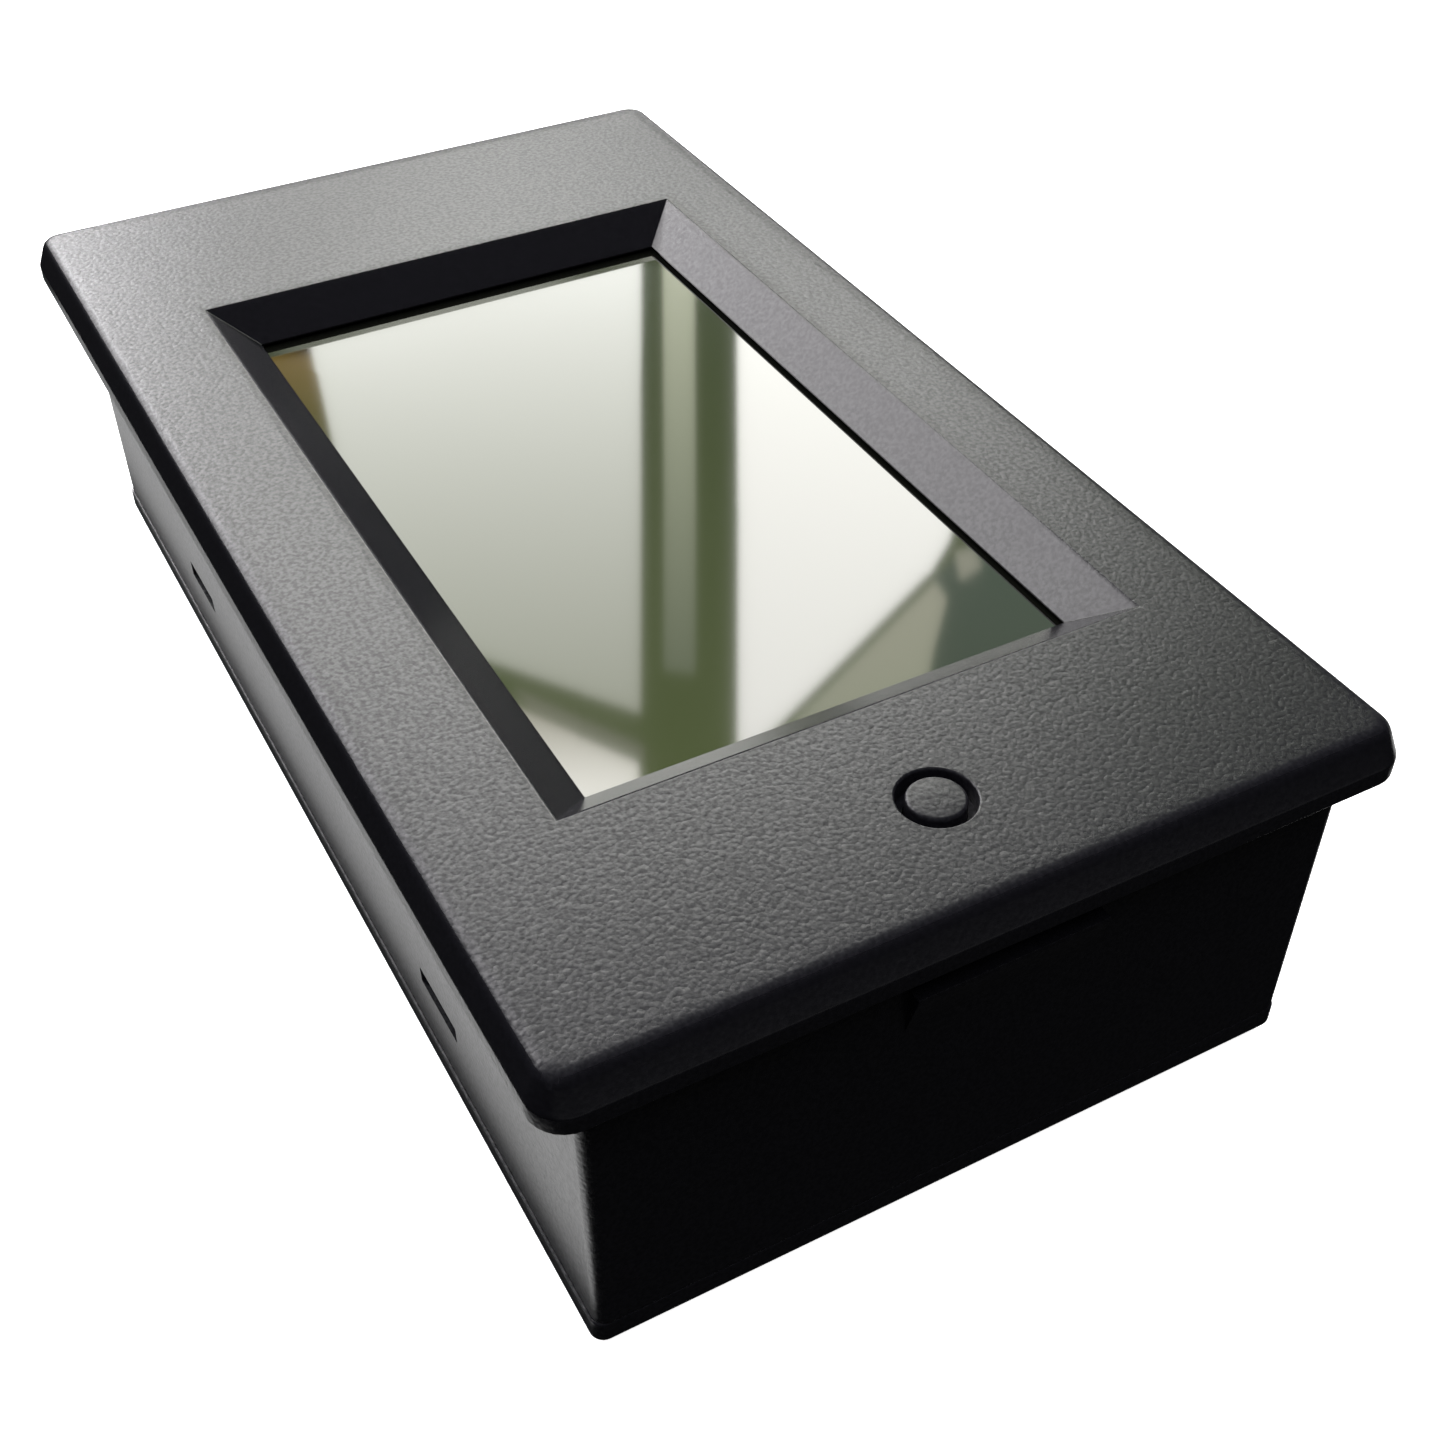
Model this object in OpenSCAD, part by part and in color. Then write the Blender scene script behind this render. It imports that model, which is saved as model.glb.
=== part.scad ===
// Snap-in panel meter: flanged box with a recessed liquid-crystal window and one push button.
// Frame: +Z out of the display, +X along the long side towards the button, +Y towards the
// top of the display. The origin is the middle of the rear face. Millimetres.

/* [Flange] */
// Length of the flange along X
flange_l = 89.6; // [84:0.1:96]
// Width of the flange along Y
flange_w = 50.0; // [46:0.1:54]
// Thickness of the flange, from panel seat to front face
flange_t = 3.0; // [2.4:0.1:4]
// Height of the straight lip at the back of the flange
lip_h = 0.7; // [0.4:0.1:1]
// Inset of the front face from the lip along X
face_in_x = 0.9; // [0.4:0.1:1.4]
// Inset of the front face from the lip along Y
face_in_y = 0.7; // [0.4:0.1:1.2]
// Corner radius of the lip
lip_r = 2.0; // [1:0.1:3]
// Corner radius of the front face
face_r = 1.2; // [0.8:0.1:2]

/* [Box] */
// Overall depth, rear face to front face
depth = 24.4; // [23.6:0.1:26]
// Length of the box behind the flange
body_l = 86.1; // [85:0.1:87]
// Width of the box behind the flange
body_w = 45.2; // [44.6:0.1:46]
// Draft on each long side, flange to rear
draft_y = 0.25; // [0:0.05:0.3]
// Draft on each short side, flange to rear
draft_x = 0; // [0:0.05:0.3]
// Corner radius of the box
body_r = 0.8; // [0.5:0.1:1.5]
// Length of the inside of the box
cavity_l = 82.2; // [81.8:0.1:82.4]
// Width of the inside of the box
cavity_w = 40.8; // [40.4:0.1:41]
// Height of the rear cover's rim
cover_h = 2.4; // [2.2:0.1:2.8]
// Thickness of the rear cover's plate
cover_t = 1.8; // [1.4:0.1:2]
// Depth of the label recess in the rear face
label_t = 0.2; // [0.1:0.05:0.3]

/* [Window] */
// Length of the window at the front face
window_l = 57.0; // [55:0.1:58]
// Width of the window at the front face
window_w = 35.7; // [34.8:0.1:36.4]
// Length of the clear view
view_l = 51.5; // [50:0.1:52.5]
// Width of the clear view
view_w = 30.4; // [29:0.1:31]
// Window centre along X
window_x = 1.0; // [0:0.1:1.5]
// Window centre along Y
window_y = 0.8; // [0:0.1:1]
// Depth of the sloped window reveal
reveal_d = 1.8; // [1.4:0.1:1.9]

/* [Button] */
// Button centre along X
button_x = 37.0; // [36:0.1:38]
// Button centre along Y
button_y = 0.2; // [-1:0.1:1]
// Diameter of the button cap
button_d = 3.2; // [3:0.1:3.4]
// Diameter of the ring groove round the cap
groove_d = 4.2; // [4.1:0.1:4.8]
// Depth of the ring groove
groove_depth = 1.2; // [0.8:0.1:1.4]
// Radial running clearance of the cap in its guide
button_gap = 0.05; // [0.03:0.01:0.08]
// Travel of the button
button_travel = 0.3; // [0.2:0.05:0.35]

/* [Snaps] */
// Length of each end snap wedge along Y
lug_l = 11.6; // [10:0.1:13]
// Centre of the end snap wedges along Y
lug_y = 0.9; // [-1:0.1:1.5]
// Projection of the end snap wedges
lug_p = 0.85; // [0.5:0.05:1.1]
// Height of the snap wedge's catch face above the rear
lug_top = 18.9; // [18.5:0.1:19.2]
// Height of the snap wedge's lower end above the rear
lug_low = 15.4; // [14.5:0.1:16]
// Length of the cover snap windows along X
slot_l = 5.2; // [4.8:0.1:6]
// Height of the cover snap windows
slot_h = 1.2; // [1:0.1:1.6]
// Height of the middle of the snap windows above the rear
slot_z = 7.0; // [6.8:0.1:7.2]
// Centre of the snap windows near the button end
slot_xa = 23.1; // [22:0.1:24]
// Centre of the snap windows near the terminal end
slot_xb = -20.9; // [-22:0.1:-20]

/* [Terminals] */
// Number of terminal ways
ways = 4; // [4]
// Pitch between terminal ways
pitch = 7.62; // [7.5:0.01:7.7]
// Radius of each wire entry
wire_r = 1.7; // [1.5:0.1:1.7]
// Travel of each wire clamp
clamp_travel = 2.0; // [1:0.1:2]

/* [Hidden] */
$fn = 48;
seat_z = depth - flange_t;
plate_t = reveal_d + 0.3;
plate_z = depth - plate_t;
gasket_t = 0.3;
film_t = 0.2;
glass_t = 1.1;
lcd_x = window_x - 0.3;
lcd_y = window_y;
lcd_l = 56.0;
lcd_w = 35.0;
ledge = 2.4;
film_top = plate_z - gasket_t;
glass_top = film_top - film_t;
rear_glass_top = glass_top - glass_t;
rear_film_top = rear_glass_top - glass_t;
guide_top = rear_film_top - film_t;
tray_z = 16.0;
tray_floor = 0.8;
tray_wall = 0.75;
board_t = 1.6;
board_z = tray_z - board_t;
board_l = 81.4;
board_w = 40.0;
boss_x = 37.5;
boss_y = 17.6;
boss_r = 2.4;
pilot_r = 0.9;
guide_r = button_d / 2 + button_gap;
guide_z = plate_z - 1.1;
pin_count = 24;
pin_pitch = 1.8;
pin_y = lcd_y - lcd_w / 2 - ledge - 0.15;
block_x0 = -40.4;
block_x1 = -29.8;
block_z0 = 0.6;
block_w = ways * pitch + 0.1;
screw_x = -35.4;
clamp_l = 4.8;
clamp_w = 5.0;
clamp_z0 = 5.0;
clamp_z1 = 12.4;
wire_z = 9.9;
shank_r = 1.25;
strip_z = 7.6;
strip_t = 0.6;
leg_x = -31.2;
entry_h = 6.0;
switch_w = 6.0;
switch_h = 3.2;
plunger_top = 20.3;
dome_z = 17.0;
eps = 0.01;

function way_y(i) = (i - (ways + 1) / 2) * pitch;

// Rectangle with round corners, centred.
module round_rect(l, w, r) {
    square([l - 2 * r, w], center = true);
    square([l, w - 2 * r], center = true);
    for (sx = [-1, 1], sy = [-1, 1])
        translate([sx * (l / 2 - r), sy * (w / 2 - r)])
            circle(r = r);
}

module slab(l, w, h, r) {
    linear_extrude(h)
        round_rect(l, w, r);
}

module box(x0, x1, y0, y1, z0, z1) {
    translate([x0, y0, z0])
        cube([x1 - x0, y1 - y0, z1 - z0]);
}

// Solid whose X and Y sides follow one profile: a list of [inset, height] pairs, rising.
module profiled(l, w, prof) {
    n = len(prof);
    intersection() {
        rotate([90, 0, 0])
            linear_extrude(w, center = true)
                polygon(concat(
                    [for (p = prof) [l / 2 - p[0], p[1]]],
                    [for (i = [n - 1 : -1 : 0]) [-l / 2 + prof[i][0], prof[i][1]]]));
        rotate([90, 0, 90])
            linear_extrude(l, center = true)
                polygon(concat(
                    [for (p = prof) [w / 2 - p[0], p[1]]],
                    [for (i = [n - 1 : -1 : 0]) [-w / 2 + prof[i][0], prof[i][1]]]));
    }
}

// Box with a different draft on its X and Y sides; widest at the top.
module drafted(l, w, dx, dy, h, r) {
    intersection() {
        rotate([90, 0, 0])
            linear_extrude(w + 1, center = true)
                polygon([[-l / 2 + dx, 0], [l / 2 - dx, 0], [l / 2, h], [-l / 2, h]]);
        rotate([90, 0, 90])
            linear_extrude(l + 1, center = true)
                polygon([[-w / 2 + dy, 0], [w / 2 - dy, 0], [w / 2, h], [-w / 2, h]]);
        slab(l + 2 * eps, w + 2 * eps, h, r);
    }
}

// Convex reveal of the window: steeper towards the glass.
module window_cut() {
    a0 = 18;
    a1 = 56;
    steps = 4;
    wide = (window_l - view_l) / 2;
    sx = sin(a1) - sin(a0);
    sz = cos(a0) - cos(a1);
    arc = [for (i = [steps : -1 : 0])
        let (a = a0 + (a1 - a0) * i / steps)
        [wide * (sin(a) - sin(a0)) / sx, depth - reveal_d * (cos(a0) - cos(a)) / sz]];
    translate([window_x, window_y, 0])
        profiled(window_l, window_w, concat([[wide, plate_z - 1]], arc, [[0, depth + 1]]));
}

module housing_flange() {
    translate([0, 0, seat_z])
        slab(flange_l, flange_w, lip_h, lip_r);
    hull() {
        translate([0, 0, seat_z + lip_h - 0.02])
            linear_extrude(0.02)
                round_rect(flange_l, flange_w, lip_r, $fn = 32);
        translate([0, 0, depth - 0.02])
            linear_extrude(0.02)
                round_rect(flange_l - 2 * face_in_x, flange_w - 2 * face_in_y, face_r, $fn = 32);
    }
}

// One end snap wedge, on the +X end.
module lug() {
    face = body_l / 2;
    translate([0, lug_y + lug_l / 2, 0])
        rotate([90, 0, 0])
            linear_extrude(lug_l)
                polygon([[face - 1, lug_low - 0.6], [face - 0.1, lug_low], [face + lug_p, lug_top - 0.3],
                    [face + lug_p, lug_top], [face - 1, lug_top]]);
}

module glass_ribs() {
    z0 = rear_glass_top + 0.3;
    for (sx = [-1, 1])
        box(lcd_x + sx * (lcd_l / 2 + 0.6) - 0.5, lcd_x + sx * (lcd_l / 2 + 0.6) + 0.5,
            lcd_y - 12, lcd_y + 12, z0, plate_z + 0.1);
    for (sx = [-1, 1], sy = [-1, 1])
        box(lcd_x + sx * 17 - 6, lcd_x + sx * 17 + 6,
            lcd_y + sy * (lcd_w / 2 + 0.6) - 0.5, lcd_y + sy * (lcd_w / 2 + 0.6) + 0.5,
            z0, plate_z + 0.1);
}

module front_housing() {
    color("#26262a")
        difference() {
            union() {
                difference() {
                    union() {
                        translate([0, 0, cover_h])
                            drafted(body_l, body_w, draft_x, draft_y, seat_z - cover_h + 0.5, body_r);
                        housing_flange();
                        lug();
                        mirror([1, 0, 0])
                            lug();
                    }
                    box(-cavity_l / 2, cavity_l / 2, -cavity_w / 2, cavity_w / 2, 0, plate_z);
                }
                for (sx = [-1, 1], sy = [-1, 1])
                    translate([sx * boss_x, sy * boss_y, tray_z])
                        cylinder(r = boss_r, h = plate_z - tray_z + 0.1);
                translate([button_x, button_y, guide_z])
                    cylinder(r = 3.4, h = plate_z - guide_z + 0.1);
                glass_ribs();
            }
            window_cut();
            for (sx = [-1, 1], sy = [-1, 1])
                translate([sx * boss_x, sy * boss_y, tray_z - 1])
                    cylinder(r = pilot_r, h = 6);
            translate([button_x, button_y, guide_z - 1])
                cylinder(r = guide_r, h = depth);
            translate([button_x, button_y, depth - groove_depth])
                cylinder(r = groove_d / 2, h = depth);
            for (sx = [slot_xa, slot_xb])
                box(sx - slot_l / 2, sx + slot_l / 2, -body_w, body_w,
                    slot_z - slot_h / 2, slot_z + slot_h / 2);
            box(-body_l, -cavity_l / 2 + 1, -block_w / 2, block_w / 2,
                wire_z - entry_h / 2, wire_z + entry_h / 2);
        }
}

// Hook that engages a snap window on the +Y side.
module cover_hook(x) {
    inner = cavity_w / 2 - 0.1;
    translate([x - slot_l / 2 + 0.2, 0, 0])
        rotate([90, 0, 90])
            linear_extrude(slot_l - 0.4)
                polygon([[inner - 1.4, cover_t - 0.1], [inner, cover_t - 0.1], [inner, slot_z - slot_h / 2 + 0.05],
                    [inner + 1.2, slot_z - slot_h / 2 + 0.05], [inner + 1.2, slot_z - 0.1],
                    [inner, slot_z + slot_h / 2 - 0.1], [inner - 0.5, slot_z + 1.4], [inner - 1.4, slot_z + 1.4]]);
}

module rear_cover() {
    cover_l = body_l - 2 * draft_x;
    cover_w = body_w - 2 * draft_y + 0.3;
    color("#242428")
        difference() {
            union() {
                drafted(cover_l, cover_w, 0.6, 0.6, 1.0, body_r);
                translate([0, 0, 1.0 - eps])
                    slab(cover_l, cover_w, cover_h - 1.0 + eps, body_r);
                difference() {
                    box(-cavity_l / 2 + 0.15, cavity_l / 2 - 0.15,
                        -cavity_w / 2 + 0.1, cavity_w / 2 - 0.1, cover_t, cover_h + 2.0);
                    box(-cavity_l / 2 + 1.35, cavity_l / 2 - 1.35,
                        -cavity_w / 2 + 1.3, cavity_w / 2 - 1.3, 0, cover_h + 3);
                    box(-body_l / 2, block_x1 + 1, -block_w / 2 - 1, block_w / 2 + 1, 0, cover_h + 3);
                }
                for (x = [slot_xa, slot_xb]) {
                    cover_hook(x);
                    mirror([0, 1, 0])
                        cover_hook(x);
                }
            }
            box(-cavity_l / 2 + 1.35, cavity_l / 2 - 1.35,
                -cavity_w / 2 + 1.5, cavity_w / 2 - 1.5, cover_t, cover_h + 3);
            box(block_x0 - 0.4, block_x1 + 0.4, -block_w / 2 - 0.4, block_w / 2 + 0.4, -1, cover_h + 3);
            translate([7, 0, -1])
                slab(64, 36, 1 + label_t, 1.5);
        }
}

module rear_label() {
    color("#c9cacc")
        translate([7, 0, 0.05])
            slab(63.6, 35.6, label_t - 0.05, 1.4);
}

module button_cap() {
    color("#2a2a2e")
        translate([button_x, button_y, 0])
            rotate_extrude($fn = 64)
                polygon([[0, plunger_top + 0.05], [2.5, plunger_top + 0.05], [2.5, guide_z - 0.05],
                    [button_d / 2, guide_z - 0.05], [button_d / 2, depth - 0.15],
                    [button_d / 2 - 0.15, depth], [0, depth]]);
}

module window_gasket() {
    color("#141416")
        translate([lcd_x, lcd_y, film_top])
            difference() {
                slab(55.4, 34.4, gasket_t, 0.5);
                translate([0, 0, -1])
                    linear_extrude(gasket_t + 2)
                        square([view_l + 0.9, view_w + 0.9], center = true);
            }
}

module lcd_front_film() {
    color("#8f9a86")
        translate([lcd_x - 27.4, lcd_y - 16.9, glass_top])
            cube([54.8, 33.8, film_t]);
}

module lcd_front_glass() {
    color("#a9b3a4")
        translate([lcd_x - lcd_l / 2, lcd_y - lcd_w / 2, rear_glass_top])
            cube([lcd_l, lcd_w, glass_t]);
}

module lcd_rear_glass() {
    color("#a2ac9d")
        translate([lcd_x - lcd_l / 2, lcd_y - lcd_w / 2 - ledge, rear_film_top])
            cube([lcd_l, lcd_w + ledge, glass_t]);
}

module lcd_rear_film() {
    color("#b9bdb4")
        translate([lcd_x - 27.4, lcd_y - 16.9, guide_top])
            cube([54.8, 33.8, film_t]);
}

module light_guide() {
    color("#e8eaea")
        difference() {
            translate([lcd_x - lcd_l / 2, lcd_y - lcd_w / 2, tray_z + tray_floor])
                cube([lcd_l, lcd_w, guide_top - tray_z - tray_floor]);
            for (sy = [-1, 1])
                translate([lcd_x - lcd_l / 2 - 1, lcd_y + sy * 8 - 2.2, tray_z])
                    cube([2.4, 4.4, 10]);
        }
}

module backlight_tray() {
    color("#f2f2ee") {
        difference() {
            translate([lcd_x, lcd_y, tray_z])
                slab(lcd_l + 2 * tray_wall + 0.1, lcd_w + 2 * tray_wall + 0.1, guide_top - tray_z, 0.6);
            translate([lcd_x - lcd_l / 2 - 0.05, lcd_y - lcd_w / 2 - 0.05, tray_z + tray_floor])
                cube([lcd_l + 0.1, lcd_w + 0.1, 10]);
        }
        for (sx = [-1, 1])
            translate([lcd_x + sx * 22, lcd_y + 12, board_z - 0.8])
                cylinder(r = 0.9, h = board_t + 1, $fn = 24);
    }
}

module backlight_leds() {
    color("#f4e9a8")
        for (sy = [-1, 1]) {
            translate([lcd_x - lcd_l / 2 + 0.05, lcd_y + sy * 8 - 1.9, tray_z + tray_floor])
                cube([1.2, 3.8, 1.6]);
            translate([lcd_x - lcd_l / 2 + 0.05, lcd_y + sy * 8 - 1.2, tray_z + tray_floor + 0.3])
                cube([1.3, 2.4, 1.0]);
        }
}

module lcd_pins() {
    color("#c8c9cb")
        for (i = [0 : pin_count - 1])
            translate([lcd_x + (i - (pin_count - 1) / 2) * pin_pitch - 0.25, 0, 0]) {
                translate([0, pin_y - 0.15, board_z - 0.8])
                    cube([0.5, 0.3, rear_glass_top + 0.2 - board_z + 0.8]);
                translate([0, pin_y, rear_glass_top])
                    cube([0.5, 1.6, 0.2]);
                translate([0, pin_y, rear_film_top - 0.2])
                    cube([0.5, 0.9, 0.2]);
            }
}

module board_hole(x, y, r) {
    translate([x, y, board_z - 1])
        cylinder(r = r, h = board_t + 2, $fn = 24);
}

module main_board() {
    color("#1f6b3a")
        difference() {
            translate([0, 0, board_z])
                slab(board_l, board_w, board_t, 1);
            for (sx = [-1, 1], sy = [-1, 1])
                board_hole(sx * boss_x, sy * boss_y, 1.2);
            for (sx = [-1, 1])
                board_hole(lcd_x + sx * 22, lcd_y + 12, 0.95);
            for (i = [0 : pin_count - 1])
                translate([lcd_x + (i - (pin_count - 1) / 2) * pin_pitch - 0.35, pin_y - 0.25, board_z - 1])
                    cube([0.7, 0.5, board_t + 2]);
            for (i = [1 : ways])
                translate([leg_x - 0.4, way_y(i) - 1.1, board_z - 1])
                    cube([0.8, 2.2, board_t + 2]);
            for (sx = [-1, 1], sy = [-1, 1])
                translate([button_x + sx * 3.25 - 0.3, button_y + sy * 2.25 - 0.5, board_z - 1])
                    cube([0.6, 1.0, board_t + 2]);
            for (s = [-1, 1]) {
                board_hole(-6 + s * 1.75, -12.5, 0.5);
                board_hole(-19.5 + s * 5, -14.5, 0.5);
                board_hole(-21.5 + s * 2.5, 13.5, 0.5);
                board_hole(-8 + s * 6.5, 14.5, 0.5);
                board_hole(-25.2, s * 4.5, 1.3);
            }
        }
}

// Board screw with a round head behind the board.
module board_screw(sx, sy) {
    color("#b8babd")
        difference() {
            translate([sx * boss_x, sy * boss_y, 0])
                rotate_extrude($fn = 48)
                    polygon([[0, board_z - 1.3], [1.3, board_z - 1.3], [1.9, board_z - 0.7], [1.9, board_z],
                        [pilot_r, board_z], [pilot_r, 20.2], [0, 20.8]]);
            translate([sx * boss_x, sy * boss_y, board_z - 1.4]) {
                cube([2.0, 0.4, 1.2], center = true);
                cube([0.4, 2.0, 1.2], center = true);
            }
        }
}

module switch_body() {
    color("#202022")
        translate([button_x, button_y, tray_z])
            difference() {
                translate([-switch_w / 2, -switch_w / 2, 0])
                    cube([switch_w, switch_w, switch_h]);
                translate([0, 0, dome_z - tray_z])
                    cylinder(r = 2.6, h = switch_h);
            }
}

module switch_cover() {
    color("#c2c4c7")
        translate([button_x, button_y, tray_z + switch_h])
            difference() {
                translate([-switch_w / 2, -switch_w / 2, 0])
                    cube([switch_w, switch_w, 0.3]);
                translate([0, 0, -1])
                    cylinder(r = 1.8, h = 3);
            }
}

module switch_plunger() {
    color("#161618")
        translate([button_x, button_y, 0])
            rotate_extrude($fn = 48)
                polygon([[0, 17.95], [0.8, 17.95], [0.8, 18.4], [2.4, 18.4], [2.4, 19.1],
                    [1.75, 19.1], [1.75, plunger_top - 0.2], [1.55, plunger_top], [0, plunger_top]]);
}

module switch_dome() {
    color("#d0d2d4")
        translate([button_x, button_y, 0])
            rotate_extrude($fn = 48)
                polygon([[0, dome_z + 0.75], [1.0, dome_z + 0.65], [1.8, dome_z + 0.35], [2.2, dome_z],
                    [2.4, dome_z], [1.9, dome_z + 0.5], [1.1, dome_z + 0.8], [0, dome_z + 0.9]]);
}

module switch_legs() {
    color("#c8c9cb")
        for (sx = [-1, 1], sy = [-1, 1])
            translate([button_x + sx * 3.25, button_y + sy * 2.25, 0]) {
                translate([-0.2, -0.35, board_z - 0.8])
                    cube([0.4, 0.7, 4.2]);
                translate([-(sx + 1) / 8, -0.35, tray_z + 0.4])
                    cube([0.25, 0.7, 0.4]);
            }
}

module terminal_block() {
    color("#1c1c1f")
        difference() {
            box(block_x0, block_x1, -block_w / 2, block_w / 2, block_z0, board_z);
            for (i = [1 : ways])
                translate([screw_x, way_y(i), 0]) {
                    translate([0, 0, block_z0 - 1])
                        cylinder(r = 1.8, h = 3);
                    translate([0, 0, 1.2])
                        cylinder(r = 2.2, h = 2.5);
                    box(-clamp_l / 2 - 0.2, clamp_l / 2 + 0.2, -clamp_w / 2 - 0.15, clamp_w / 2 + 0.15,
                        2.7, clamp_z1 + 0.2);
                    translate([-clamp_l / 2, 0, wire_z])
                        rotate([0, -90, 0])
                            cylinder(r = wire_r, h = 10);
                    box(0, leg_x - screw_x + strip_t / 2, -1.9, 1.9, strip_z, strip_z + strip_t);
                    box(leg_x - screw_x - strip_t / 2, leg_x - screw_x + strip_t / 2, -1, 1,
                        strip_z, board_z + 1);
                }
        }
}

module terminal_strips() {
    color("#c9b37a")
        for (i = [1 : ways])
            translate([screw_x, way_y(i), 0]) {
                box(-clamp_l / 2 + 0.1, leg_x - screw_x + strip_t / 2, -1.5, 1.5, strip_z, strip_z + strip_t);
                box(leg_x - screw_x - strip_t / 2, leg_x - screw_x + strip_t / 2, -1, 1,
                    strip_z, tray_z + 0.6);
            }
}

// Slotted clamp screw, captive in the block; its tip bears on the contact strip.
module terminal_screw(i) {
    color("#b9bbbe")
        difference() {
            translate([screw_x, way_y(i), 0])
                rotate_extrude($fn = 64)
                    polygon([[0, 1.25], [1.8, 1.25], [2.1, 1.55], [2.1, 2.6], [shank_r, 2.6],
                        [shank_r, strip_z - 0.25], [shank_r - 0.2, strip_z - 0.05], [0, strip_z - 0.05]]);
            translate([screw_x, way_y(i), 1.5])
                cube([6, 0.8, 1.0], center = true);
        }
}

// Rising clamp frame: the screw runs in its lower wall, the wire and the strip pass its window.
module terminal_clamp(i) {
    color("#cdb163")
        translate([screw_x, way_y(i), 0])
            difference() {
                box(-clamp_l / 2, clamp_l / 2, -clamp_w / 2, clamp_w / 2, clamp_z0, clamp_z1);
                box(-5, 5, -clamp_w / 2 + 0.75, clamp_w / 2 - 0.75, clamp_z0 + 1.2, clamp_z1 - 0.8);
                translate([0, 0, clamp_z0 - 1])
                    cylinder(r = shank_r + 0.05, h = 3, $fn = 64);
            }
}

// Surface-mount chip behind the board: body, and legs on both long sides.
module chip(x, y, l, w, h, n, p) {
    translate([x, y, board_z - h]) {
        color("#1a1a1c")
            translate([-l / 2, -w / 2, 0])
                cube([l, w, h - 0.1]);
        color("#c8c9cb")
            for (s = [-1, 1], i = [0 : n - 1])
                translate([(i - (n - 1) / 2) * p - 0.2, s * (w / 2 + 0.7) - 0.75, h - 0.2])
                    cube([0.4, 1.5, 0.2]);
    }
}

module metering_chip() {
    chip(11, 4, 15.4, 7.5, 2.4, 12, 1.27);
}

module control_chip() {
    chip(25, -8, 12.8, 7.5, 2.4, 10, 1.27);
}

module memory_chip() {
    chip(27, 8, 4.9, 3.9, 1.6, 4, 1.27);
}

module regulator() {
    color("#1a1a1c")
        box(-7.25, -2.75, 2.2, 4.8, board_z - 1.5, board_z - 0.1);
    color("#c8c9cb")
        for (i = [-1, 0, 1])
            box(-5.2 + i * 1.5, -4.8 + i * 1.5, 1.2, 5.4, board_z - 0.3, board_z);
}

module crystal_can() {
    color("#c4c6c9")
        translate([12, -6.5, board_z - 3.5])
            slab(11, 4.6, 3.5, 2.2);
}

module bridge_rectifier() {
    color("#1a1a1c")
        box(3.9, 12.1, -17.2, -10.8, board_z - 3.3, board_z - 0.3);
    color("#c8c9cb")
        for (sx = [-1, 1], sy = [-1, 1])
            translate([8 + sx * 2.55 - 0.4, -14 + sy * 3.6 - 0.5, board_z - 2])
                cube([0.8, 1.0, 2]);
}

module lead(x, y, z0) {
    translate([x, y, z0])
        cylinder(r = 0.3, h = tray_z - z0, $fn = 24);
}

module smoothing_capacitor() {
    color("#2b3b6b")
        translate([-6, -12.5, 0])
            rotate_extrude($fn = 64)
                polygon([[0, 3.0], [3.3, 3.0], [4.0, 3.5], [4.0, 13.0], [3.75, 13.3], [4.0, 13.6],
                    [4.0, 14.1], [0, 14.1]]);
    color("#c8c9cb")
        for (s = [-1, 1])
            lead(-6 + s * 1.75, -12.5, 14.0);
}

module film_capacitor() {
    color("#b3a23a")
        box(-26, -13, -17.5, -11.5, 3.4, board_z - 0.2);
    color("#c8c9cb")
        for (s = [-1, 1])
            lead(-19.5 + s * 5, -14.5, board_z - 0.3);
}

module varistor() {
    color("#2f5fa8")
        translate([-21.5, 13.5, 9.4])
            rotate([90, 0, 0])
                cylinder(r = 3.8, h = 3.6, center = true, $fn = 48);
    color("#c8c9cb")
        for (s = [-1, 1])
            lead(-21.5 + s * 2.5, 13.5, 10.5);
}

module fuse_resistor() {
    color("#8fb7a0")
        translate([-8, 14.5, board_z - 2.2])
            rotate([0, 90, 0])
                cylinder(r = 1.9, h = 9, center = true, $fn = 48);
    color("#c8c9cb")
        for (s = [-1, 1]) {
            translate([-8 + s * 5.4, 14.5, board_z - 2.2])
                rotate([0, 90, 0])
                    cylinder(r = 0.3, h = 2.8, center = true, $fn = 24);
            lead(-8 + s * 6.5, 14.5, board_z - 2.5);
        }
}

// Bent resistance strap.
module current_shunt() {
    color("#a8a29a")
        translate([-25.2, 0, 0]) {
            for (s = [-1, 1])
                box(-1.0, 1.0, s * 4.5 - 0.4, s * 4.5 + 0.4, 8.4, tray_z);
            box(-1.0, 1.0, -4.9, 4.9, 7.6, 8.4);
        }
}

front_housing();
rear_cover();
rear_label();
button_cap();
window_gasket();
lcd_front_film();
lcd_front_glass();
lcd_rear_glass();
lcd_rear_film();
light_guide();
backlight_tray();
backlight_leds();
lcd_pins();
main_board();
board_screw(1, 1);  // board_screw_1
board_screw(-1, 1);  // board_screw_2
board_screw(-1, -1);  // board_screw_3
board_screw(1, -1);  // board_screw_4
switch_body();
switch_cover();
switch_plunger();
switch_dome();
switch_legs();
terminal_block();
terminal_strips();
terminal_screw(1);  // terminal_screw_1
terminal_screw(2);  // terminal_screw_2
terminal_screw(3);  // terminal_screw_3
terminal_screw(4);  // terminal_screw_4
terminal_clamp(1);  // terminal_clamp_1
terminal_clamp(2);  // terminal_clamp_2
terminal_clamp(3);  // terminal_clamp_3
terminal_clamp(4);  // terminal_clamp_4
metering_chip();
control_chip();
memory_chip();
regulator();
crystal_can();
bridge_rectifier();
smoothing_capacitor();
film_capacitor();
varistor();
fuse_resistor();
current_shunt();
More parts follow.
